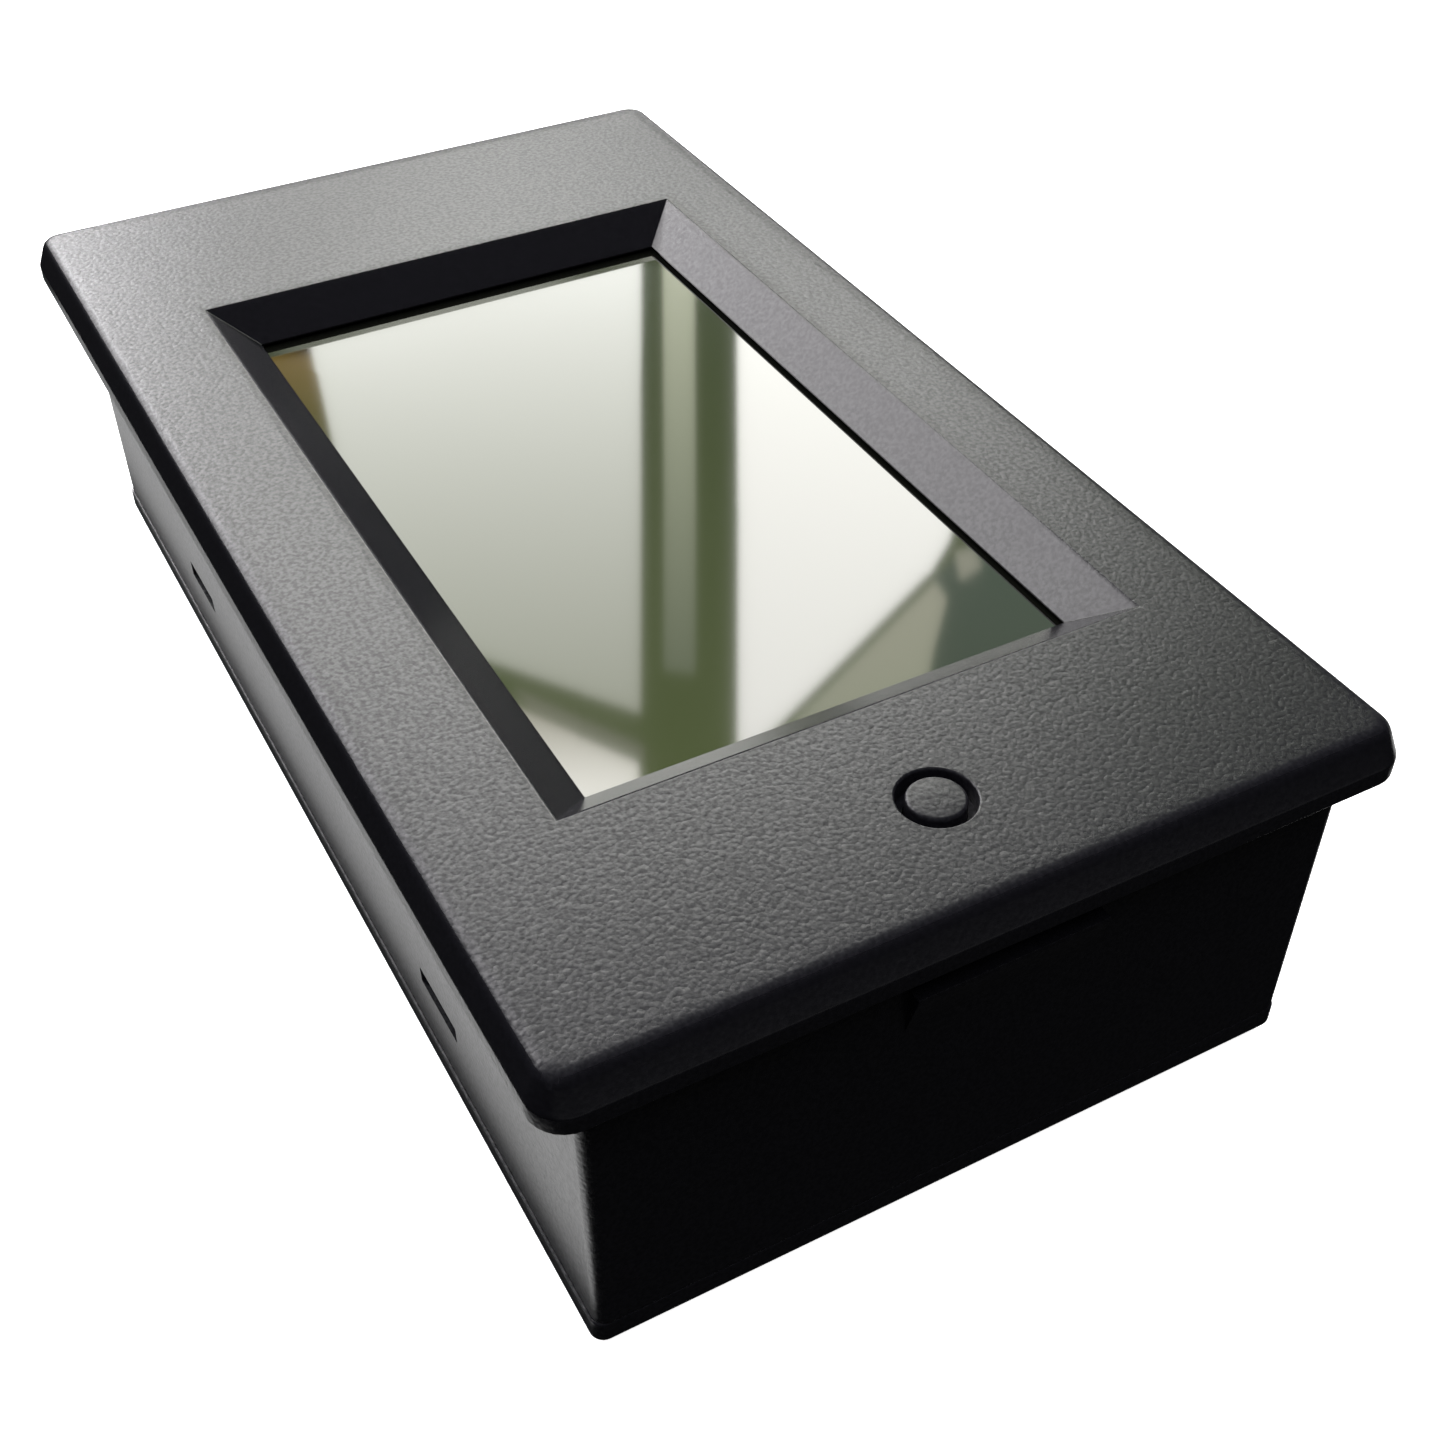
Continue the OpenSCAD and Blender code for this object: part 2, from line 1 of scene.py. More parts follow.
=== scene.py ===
"""Looks of a snap-in panel meter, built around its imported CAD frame.

Shapes are worked out in millimetres in the part's own frame: +Z out of the display, +X towards
the button, +Y towards the top of the display, and the rear face at Z = 0.
"""

import math

import bmesh
import bpy
from bpy.props import FloatProperty, FloatVectorProperty
from mathutils import Euler, Matrix, Vector


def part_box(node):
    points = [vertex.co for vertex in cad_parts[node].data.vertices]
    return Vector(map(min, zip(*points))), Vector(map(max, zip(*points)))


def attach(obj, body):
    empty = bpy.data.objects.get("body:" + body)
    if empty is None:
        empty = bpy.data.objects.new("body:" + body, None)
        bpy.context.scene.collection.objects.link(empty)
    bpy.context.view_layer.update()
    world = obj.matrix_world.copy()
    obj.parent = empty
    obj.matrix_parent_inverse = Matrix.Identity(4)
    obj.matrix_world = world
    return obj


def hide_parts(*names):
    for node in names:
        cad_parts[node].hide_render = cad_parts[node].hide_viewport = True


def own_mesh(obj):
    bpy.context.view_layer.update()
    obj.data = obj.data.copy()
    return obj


bl_info = {
    "name": "Panel meter looks",
    "version": (1, 0, 0),
    "blender": (4, 5, 0),
    "location": "View3D > Sidebar > Panel Meter",
    "description": "Builds the moulded shell, display and finishes of a snap-in panel meter",
    "category": "Object",
}

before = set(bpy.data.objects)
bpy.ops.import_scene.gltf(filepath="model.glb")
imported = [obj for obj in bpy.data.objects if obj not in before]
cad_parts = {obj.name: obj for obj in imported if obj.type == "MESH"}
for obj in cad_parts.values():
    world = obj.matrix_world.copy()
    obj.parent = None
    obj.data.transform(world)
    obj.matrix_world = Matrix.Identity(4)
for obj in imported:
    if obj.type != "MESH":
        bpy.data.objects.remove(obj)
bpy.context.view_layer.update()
MM = 0.001
MICRON = 1e-6
WELD = 0.0015  # corners closer than this, in millimetres, become one
CREASE = math.radians(32)  # edges that turn by more than this stay sharp


def linear(hex_colour):
    """Linear RGB of an sRGB hex colour."""
    parts = [int(hex_colour[i : i + 2], 16) / 255 for i in (1, 3, 5)]
    return tuple(c / 12.92 if c <= 0.04045 else ((c + 0.055) / 1.055) ** 2.4 for c in parts)


def node_box(node):
    """Lowest and highest corner of a CAD node, in millimetres."""
    low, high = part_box(node)
    return Vector(low) / MM, Vector(high) / MM


# ---------------- properties


def length(name, description, value):
    """A length property from millimetres."""
    return FloatProperty(name=name, description=description, default=value * MM, unit="LENGTH", precision=5)


def colour(name, description, value):
    """A colour property from an sRGB hex colour."""
    return FloatVectorProperty(
        name=name, description=description, default=linear(value), subtype="COLOR", min=0, max=1)


class MeterShell(bpy.types.PropertyGroup):
    body_length: length("Body length", "Length of the box behind the flange", 86.1)
    body_width: length("Body width", "Width of the box behind the flange", 45.2)
    draft: length("Side draft", "How far each long side leans in towards the rear", 0.25)
    body_round: length("Body corner radius", "Radius of the box's upright corners", 0.8)
    flange_thickness: length("Flange thickness", "Panel seat to front face", 3.0)
    lip_height: length("Lip height", "Straight lip at the back of the flange", 1.1)
    lip_round: length("Lip corner radius", "Corner radius of the flange at its lip", 2.0)
    face_round: length("Face corner radius", "Corner radius of the front face", 1.2)
    face_inset_x: length("Face inset, long way", "Step from the lip to the front face along X", 0.9)
    face_inset_y: length("Face inset, short way", "Step from the lip to the front face along Y", 0.7)
    edge_round: length("Edge rounding", "Soft rounding of the front face's outer edge", 0.6)
    plastic: colour("Shell plastic", "Colour of the moulded shell", "#131317")


class MeterWindow(bpy.types.PropertyGroup):
    opening_length: length("Window length", "Length of the window at the front face", 57.0)
    opening_width: length("Window width", "Width of the window at the front face", 35.7)
    centre_x: length("Window centre, long way", "Window centre along X", 1.0)
    centre_y: length("Window centre, short way", "Window centre along Y", 0.8)
    slope: length("Reveal slope", "How far the sloped reveal runs in", 2.75)
    reveal_depth: length("Reveal depth", "Depth of the sloped reveal", 2.0)
    film: colour("Display colour", "Colour of the unlit display behind its film", "#0d0e0b")
    gasket: colour("Gasket colour", "Colour of the foam gasket", "#101012")


class MeterButton(bpy.types.PropertyGroup):
    cap: length("Button diameter", "Diameter of the push button's cap", 3.2)
    groove: length("Groove diameter", "Outer diameter of the ring groove", 4.2)
    groove_depth: length("Groove depth", "Depth of the ring groove", 1.2)
    clearance: length("Button clearance", "Radial running clearance of the cap", 0.05)


class MeterStage(bpy.types.PropertyGroup):
    lens: FloatProperty(
        name="Lens", description="Focal length in millimetres on a 36 mm sensor", default=47.237)
    floor: colour("Floor", "Colour of the plain floor", "#f4f4f4")
    overhead: FloatProperty(
        name="Overhead light", description="Power of the soft overhead light", default=18.0, unit="POWER")


# ---------------- shapes


def ring(cx, cy, hx, hy, r, z, steps=7):
    """Points of a round-cornered rectangle at height z, anticlockwise."""
    points = []
    for sx, sy, start in ((1, 1, 0), (-1, 1, 90), (-1, -1, 180), (1, -1, 270)):
        for i in range(steps + 1):
            a = math.radians(start + 90 * i / steps)
            points.append((cx + sx * (hx - r) + r * math.cos(a), cy + sy * (hy - r) + r * math.sin(a), z))
    return points


def softened(stations, steps=4):
    """Rings (cx, cy, hx, hy, r, z) from stations that add a rounding size: a sized one becomes a curve."""
    rings = []
    count = len(stations)
    for i, (*here, size) in enumerate(stations):
        here = Vector(here)
        if not size:
            rings.append(here)
            continue
        ends = []
        for other in (stations[(i - 1) % count], stations[(i + 1) % count]):
            way = Vector(other[:-1]) - here
            reach = max(abs(way[2]), abs(way[3]), abs(way[5]))
            ends.append(here + way * (size / reach))
        for j in range(steps + 1):
            t = j / steps
            rings.append(ends[0] * (1 - t) ** 2 + here * 2 * t * (1 - t) + ends[1] * t * t)
    return rings


def skin(rings, closed=True):
    """Mesh through a run of rings: a closed tube, or a solid with flat ends."""
    bm = bmesh.new()
    loops = [[bm.verts.new(p) for p in ring(*r)] for r in rings]
    count = len(loops[0])
    for low, high in zip(loops, loops[1:] + loops[:1] if closed else loops[1:]):
        for i in range(count):
            bm.faces.new((low[i], low[(i + 1) % count], high[(i + 1) % count], high[i]))
    if not closed:
        bm.faces.new(list(reversed(loops[0])))
        bm.faces.new(loops[-1])
    bmesh.ops.recalc_face_normals(bm, faces=bm.faces)
    return bm


def turned(profile, cx, cy, sides):
    """Solid of revolution about an upright axis; profile is (radius, z) pairs from axis to axis."""
    bm = bmesh.new()
    loops = []
    turns = [2 * math.pi * i / sides for i in range(sides)]
    for radius, z in profile:
        places = [(cx + radius * math.cos(a), cy + radius * math.sin(a), z) for a in turns]
        if not radius:
            places = [(cx, cy, z)]
        loops.append([bm.verts.new(place) for place in places])
    for low, high in zip(loops, loops[1:]):
        for i in range(sides):
            j = i + 1
            corners = [low[i % len(low)], low[j % len(low)], high[j % len(high)], high[i % len(high)]]
            kept = [v for k, v in enumerate(corners) if v not in corners[:k]]
            if len(kept) > 2:
                bm.faces.new(kept)
    bmesh.ops.recalc_face_normals(bm, faces=bm.faces)
    return bm


def arc(cx, cz, radius, start, end, steps):
    """(x, z) points on an arc, angles in degrees."""
    angles = [math.radians(start + (end - start) * i / steps) for i in range(steps + 1)]
    return [(cx + radius * math.cos(a), cz + radius * math.sin(a)) for a in angles]


def block(x0, x1, y0, y1, z0, z1, soft=0.0):
    """Box between two corners, its edges softened by a size."""
    bm = bmesh.new()
    bmesh.ops.create_cube(bm, size=1)
    for v in bm.verts:
        x, y, z = v.co
        v.co = ((x0 + x1) / 2 + x * (x1 - x0), (y0 + y1) / 2 + y * (y1 - y0), (z0 + z1) / 2 + z * (z1 - z0))
    if soft:
        bmesh.ops.bevel(bm, geom=list(bm.edges), offset=soft, segments=3, profile=0.5, affect="EDGES")
    return bm


def prism(outline, start, end, axis, soft=0.0):
    """Extruded outline, of (x, z) points along "Y" or of (y, z) points along "X"."""
    bm = bmesh.new()
    place = (lambda p, t: (p[0], t, p[1])) if axis == "Y" else (lambda p, t: (t, p[0], p[1]))
    ends = [[bm.verts.new(place(p, t)) for p in outline] for t in (start, end)]
    count = len(outline)
    for i in range(count):
        bm.faces.new((ends[0][i], ends[0][(i + 1) % count], ends[1][(i + 1) % count], ends[1][i]))
    bm.faces.new(ends[0])
    bm.faces.new(ends[1])
    bmesh.ops.recalc_face_normals(bm, faces=bm.faces)
    if soft:
        bmesh.ops.bevel(bm, geom=list(bm.edges), offset=soft, segments=2, profile=0.5, affect="EDGES")
    return bm


def mirrored(bm, x=1, y=1):
    """The solid reflected in X or Y."""
    bmesh.ops.scale(bm, vec=(x, y, 1), verts=bm.verts)
    bmesh.ops.recalc_face_normals(bm, faces=bm.faces)
    return bm


def scratch_object(bm, name="scratch"):
    """Object from a mesh in the making, linked to the scene."""
    mesh = bpy.data.meshes.new(name)
    bm.to_mesh(mesh)
    bm.free()
    made = bpy.data.objects.new(name, mesh)
    bpy.context.scene.collection.objects.link(made)
    return made


def carved(base, steps):
    """The base solid after a list of ("UNION" or "DIFFERENCE", solid) steps, still in millimetres."""
    body = scratch_object(base)
    tools = []
    for operation, solid in steps:
        tool = scratch_object(solid)
        change = body.modifiers.new("change", "BOOLEAN")
        change.operation, change.object, change.solver = operation, tool, "MANIFOLD"
        tools.append(tool)
    graph = bpy.context.evaluated_depsgraph_get()
    mesh = bpy.data.meshes.new_from_object(body.evaluated_get(graph), depsgraph=graph)
    bm = bmesh.new()
    bm.from_mesh(mesh)
    for item in [body, *tools]:
        old = item.data
        bpy.data.objects.remove(item)
        bpy.data.meshes.remove(old)
    bpy.data.meshes.remove(mesh)
    bmesh.ops.remove_doubles(bm, verts=bm.verts, dist=WELD)
    if not bm.faces:
        raise RuntimeError("a boolean step left nothing")
    return bm


def piece(name, bm, body, materials, replaced, pick=None):
    """Turns a solid in millimetres into a piece in metres that rides on a body.

    pick gives a face's material number from its centre in millimetres and its normal.
    """
    bmesh.ops.scale(bm, vec=(MM, MM, MM), verts=bm.verts)
    mesh = bpy.data.meshes.new(name)
    for material in materials:
        mesh.materials.append(material)
    if pick:
        for face in bm.faces:
            face.material_index = pick(face.calc_center_median() / MM, face.normal)
    bm.to_mesh(mesh)
    bm.free()
    mesh.polygons.foreach_set("use_smooth", [True] * len(mesh.polygons))
    mesh.set_sharp_from_angle(angle=CREASE)
    made = bpy.data.objects.new(name, mesh)
    bpy.context.scene.collection.objects.link(made)
    weigh = made.modifiers.new("even shading", "WEIGHTED_NORMAL")
    weigh.keep_sharp, weigh.weight = True, 60
    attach(made, body)
    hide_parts(*replaced)
    return made


# ---------------- finishes


def add(tree, kind, inputs=None, **settings):
    """Adds a node with its settings; an input is a value, or a socket to link."""
    made = tree.nodes.new(kind)
    for key, value in settings.items():
        setattr(made, key, value)
    for key, value in (inputs or {}).items():
        if isinstance(value, bpy.types.NodeSocket):
            tree.links.new(value, made.inputs[key])
        else:
            made.inputs[key].default_value = value
    return made


def cycles(size_mm):
    """Pattern scale that makes one cell this many millimetres across."""
    return 1 / (size_mm * MM)


def start_material(name):
    """An empty material, its node tree and its object coordinates in metres."""
    material = bpy.data.materials.new(name)
    material.use_nodes = True
    tree = material.node_tree
    tree.nodes.clear()
    place = add(tree, "ShaderNodeTexCoord").outputs["Object"]
    return material, tree, place


def tones(dark, light):
    """Linear RGB of two sRGB hex colours."""
    return linear(dark), linear(light)


DARK = tones("#141415", "#1d1d1f")


def outside_box(tree, place, low, high):
    """1 outside a box given in millimetres, 0 inside it or on it."""
    centre, half = (low + high) / 2 * MM, (high - low) / 2 * MM
    skin_deep = 0.00001
    offset = add(tree, "ShaderNodeVectorMath", {0: place, 1: centre}, operation="SUBTRACT").outputs[0]
    away = add(tree, "ShaderNodeVectorMath", {0: offset}, operation="ABSOLUTE").outputs[0]
    past = add(tree, "ShaderNodeVectorMath", {0: away, 1: half}, operation="SUBTRACT").outputs[0]
    parts = add(tree, "ShaderNodeSeparateXYZ", {0: past}).outputs
    across = add(tree, "ShaderNodeMath", {0: parts[0], 1: parts[1]}, operation="MAXIMUM").outputs[0]
    widest = add(tree, "ShaderNodeMath", {0: across, 1: parts[2]}, operation="MAXIMUM").outputs[0]
    return add(tree, "ShaderNodeMath", {0: widest, 1: skin_deep}, operation="GREATER_THAN").outputs[0]


def finish(name, low, high, patch_mm, rough, grain_mm=0.3, grain_um=0, metallic=0.0, leads=None, fixed=None):
    """Material whose colour drifts between two tones over patches, with uneven gloss and a fine grain.

    leads is a box in millimetres: outside it the piece is bare tinned metal. fixed holds constants
    that are set straight on the shader.
    """
    material, tree, place = start_material(name)
    patches = add(tree, "ShaderNodeTexNoise", {"Vector": place, "Scale": cycles(patch_mm), "Detail": 3.0})
    grain = add(tree, "ShaderNodeTexNoise", {"Vector": place, "Scale": cycles(grain_mm), "Detail": 2.0})
    base = add(tree, "ShaderNodeMix", {
        "Factor": patches.outputs["Fac"], "A": (*low, 1), "B": (*high, 1),
    }, data_type="RGBA").outputs["Result"]
    gloss = add(tree, "ShaderNodeMapRange", {
        "Value": grain.outputs["Fac"], "To Min": rough[0], "To Max": rough[1],
    })
    if leads:
        bare = outside_box(tree, place, *leads)
        tinned = (*linear("#c9cacb"), 1)
        base = add(tree, "ShaderNodeMix", {"Factor": bare, "A": base, "B": tinned}, data_type="RGBA")
        base, metallic = base.outputs["Result"], bare
    shader = add(tree, "ShaderNodeBsdfPrincipled", {
        "Base Color": base, "Metallic": metallic, "Roughness": gloss.outputs["Result"], **(fixed or {}),
    })
    if grain_um:
        bump = add(tree, "ShaderNodeBump", {
            "Height": grain.outputs["Fac"], "Strength": 1.0, "Distance": grain_um * MICRON,
        })
        tree.links.new(bump.outputs["Normal"], shader.inputs["Normal"])
    add(tree, "ShaderNodeOutputMaterial", {"Surface": shader.outputs[0]})
    return material


def eroded_abs(name, base, rough, grain_um, speckle):
    """Black ABS moulded against a spark-eroded tool: small pebbles side by side, each with a soft glint."""
    material, tree, place = start_material(name)
    pebble, patch = cycles(0.28), cycles(9.0)
    cells = add(tree, "ShaderNodeTexVoronoi", {"Vector": place, "Scale": pebble}).outputs["Distance"]
    domes = add(tree, "ShaderNodeMath", {0: cells, 1: cells}, operation="MULTIPLY").outputs[0]
    fine = add(tree, "ShaderNodeTexNoise", {"Vector": place, "Scale": pebble, "Detail": 1.0}).outputs["Fac"]
    drift = add(tree, "ShaderNodeTexNoise", {"Vector": place, "Scale": patch, "Detail": 3.0}).outputs["Fac"]
    height = add(tree, "ShaderNodeMath", {0: fine, 1: domes}, operation="SUBTRACT").outputs[0]
    bump = add(tree, "ShaderNodeBump", {"Height": height, "Strength": 1.0, "Distance": grain_um * MICRON})
    # The noise keeps near its middle, so that stretch is widened to the full range.
    speck = add(tree, "ShaderNodeMapRange", {"Value": fine, "From Min": 0.36, "From Max": 0.64})
    speck = speck.outputs["Result"]
    darker = [c * 0.88 for c in base]
    lighter = [min(1.0, c * 1.12) for c in base]
    tone = add(tree, "ShaderNodeMix", {
        "Factor": speck, "A": (*darker, 1), "B": (*lighter, 1),
    }, data_type="RGBA")
    gloss = add(tree, "ShaderNodeMapRange", {"Value": drift, "To Min": rough - 0.03, "To Max": rough + 0.03})
    low, high = 0.5 - speckle, 0.5 + speckle
    glint = add(tree, "ShaderNodeMapRange", {"Value": speck, "To Min": low, "To Max": high})
    shader = add(tree, "ShaderNodeBsdfPrincipled", {
        "Base Color": tone.outputs["Result"],
        "Roughness": gloss.outputs["Result"],
        "Specular IOR Level": glint.outputs["Result"],
        "Normal": bump.outputs["Normal"],
        "IOR": 1.53,
    })
    add(tree, "ShaderNodeOutputMaterial", {"Surface": shader.outputs[0]})
    return material


def shell_materials(context):
    """The shell's eroded finish and its smooth one, whose tone is darkened as painted shade, made on first
    use.
    """
    names = ("ABS, spark eroded", "ABS, polished band, painted shade")
    if names[0] not in bpy.data.materials:
        base = tuple(context.scene.meter_shell.plastic)
        # Spark-eroded ABS scatters light into a soft grey sheen with a visible pebble.
        eroded_abs(names[0], base, 0.37, 12, 0.14)
        # The flange's bevel and the reveal come off a smoother tool, so they are cleaner and glossier; their
        # tone is also darkened to 0.8 as painted shade.
        eroded_abs(names[1], [c * 0.8 for c in base], 0.23, 3, 0.05)
    return [bpy.data.materials[name] for name in names]


def polarising_film(base):
    """Polarising film under a hard coat: a clear, slightly uneven mirror over the dark olive cell."""
    material, tree, place = start_material("Polarising film, hard coated")
    cells = add(tree, "ShaderNodeTexNoise", {"Vector": place, "Scale": cycles(14.0), "Detail": 2.0})
    ripple = add(tree, "ShaderNodeTexNoise", {"Vector": place, "Scale": cycles(5.0), "Detail": 1.0})
    darker, lighter = [c * 0.92 for c in base], [c * 1.08 for c in base]
    tone = add(tree, "ShaderNodeMix", {
        "Factor": cells.outputs["Fac"], "A": (*darker, 1), "B": (*lighter, 1),
    }, data_type="RGBA")
    gloss = add(tree, "ShaderNodeMapRange", {"Value": cells.outputs["Fac"], "To Min": 0.045, "To Max": 0.055})
    bump = add(tree, "ShaderNodeBump", {
        "Height": ripple.outputs["Fac"], "Strength": 0.4, "Distance": 0.6 * MICRON,
    })
    shader = add(tree, "ShaderNodeBsdfPrincipled", {
        "Base Color": tone.outputs["Result"],
        "Roughness": gloss.outputs["Result"],
        "Normal": bump.outputs["Normal"],
        "IOR": 1.52, "Coat Weight": 1.0, "Coat IOR": 1.6, "Coat Roughness": 0.05,
    })
    add(tree, "ShaderNodeOutputMaterial", {"Surface": shader.outputs[0]})
    return material


def masked_board():
    """Glass-epoxy board: green solder mask over copper tracks that show as lighter, raised lines."""
    material, tree, place = start_material("Glass-epoxy board, green mask")
    black, white = (0, 0, 0, 1), (1, 1, 1, 1)
    weave = add(tree, "ShaderNodeTexNoise", {"Vector": place, "Scale": cycles(0.5), "Detail": 2.0})
    tracks = add(tree, "ShaderNodeTexBrick", {
        "Vector": place, "Scale": cycles(8.0), "Mortar Size": 0.035, "Mortar Smooth": 0.2,
        "Color1": black, "Color2": black, "Mortar": white,
    }).outputs["Fac"]
    mask = add(tree, "ShaderNodeMix", {
        "Factor": weave.outputs["Fac"], "A": (*linear("#0f4a26"), 1), "B": (*linear("#175c31"), 1),
    }, data_type="RGBA")
    base = add(tree, "ShaderNodeMix", {
        "Factor": tracks, "A": mask.outputs["Result"], "B": (*linear("#2f8a4e"), 1),
    }, data_type="RGBA")
    gloss = add(tree, "ShaderNodeMapRange", {"Value": weave.outputs["Fac"], "To Min": 0.28, "To Max": 0.42})
    bump = add(tree, "ShaderNodeBump", {"Height": tracks, "Strength": 1.0, "Distance": 35 * MICRON})
    shader = add(tree, "ShaderNodeBsdfPrincipled", {
        "Base Color": base.outputs["Result"],
        "Roughness": gloss.outputs["Result"],
        "Normal": bump.outputs["Normal"],
        "IOR": 1.55,
    })
    add(tree, "ShaderNodeOutputMaterial", {"Surface": shader.outputs[0]})
    return material


# ---------------- pieces

# Sizes that stay fixed, in millimetres.
INNER_X, INNER_Y = 41.1, 20.4  # half of the space inside the walls
REVEAL_STEP = 0.1  # upright step at the reveal's foot
ROOT = 0.2  # how far posts and ribs run into the front plate
POST_X, POST_Y, POST_RADIUS = 37.5, 17.6, 2.4  # posts that the board screws hold
PILOT_RADIUS, PILOT_DEPTH = 0.9, 5  # holes that the board screws cut their thread in
GUIDE_RADIUS, GUIDE_DEPTH = 3.4, 1.1  # collar that guides the push button
GROOVE_FLARE = 0.14  # rounding of the ring groove's mouth
RIB_HALF, RIB_OUT, RIB_FOOT = 0.5, 0.6, 0.3  # ribs that centre the glass: half thickness, reach and foot
END_RIB, SIDE_RIB, SIDE_RIB_X = 12, 6, 17  # their half lengths, and where the side ones stand
SNAP_X, SNAP_HALF, SNAP_LOW, SNAP_HIGH = (23.1, -20.9), 2.6, 6.4, 7.6  # snap windows in the long sides
CATCH_Y, CATCH_HALF = 0.9, 5.8  # panel catch on each end
WIRE_LOW, WIRE_HIGH = 6.9, 12.9  # opening for the wires in the terminal end
COVER_X, COVER_Y, COVER_PLATE, COVER_RIM = 43.05, 22.5, 1.8, 2.4  # rear cover: half sizes, plate, rim
SKIRT_X, SKIRT_Y, SKIRT_TOP = INNER_X - 0.15, INNER_Y - 0.1, 4.4  # the cover's skirt inside the walls
HOOK_HALF = 2.4  # half width of the cover's snap hooks
LABEL_X, LABEL_HALF_X, LABEL_HALF_Y, LABEL_ROUND, LABEL_DEPTH = 7, 32, 18, 1.5, 0.2  # recess for the label
BEYOND_X, BEYOND_Y = 60, 30  # safely past the box, for cuts that run out of it


def rod(radius, low, high):
    """(radius, z) profile of a plain round rod."""
    return [(0, low), (radius, low), (radius, high), (0, high)]


def at_posts(profile, sides):
    """The same turned solid at each of the four screw posts."""
    return [turned(profile, sx * POST_X, sy * POST_Y, sides) for sx in (-1, 1) for sy in (-1, 1)]


def glass_ribs(head):
    """Ribs that centre the display's front glass: one at each end and two along each side."""
    low, high = node_box("lcd_front_glass")
    cx, cy, foot = (low.x + high.x) / 2, (low.y + high.y) / 2, low.z + RIB_FOOT
    ribs = []
    for side in (-1, 1):
        x = cx + side * ((high.x - low.x) / 2 + RIB_OUT)
        y = cy + side * ((high.y - low.y) / 2 + RIB_OUT)
        ribs.append(block(x - RIB_HALF, x + RIB_HALF, cy - END_RIB, cy + END_RIB, foot, head))
        for end in (-1, 1):
            middle = cx + end * SIDE_RIB_X
            ribs.append(block(middle - SIDE_RIB, middle + SIDE_RIB, y - RIB_HALF, y + RIB_HALF, foot, head))
    return ribs


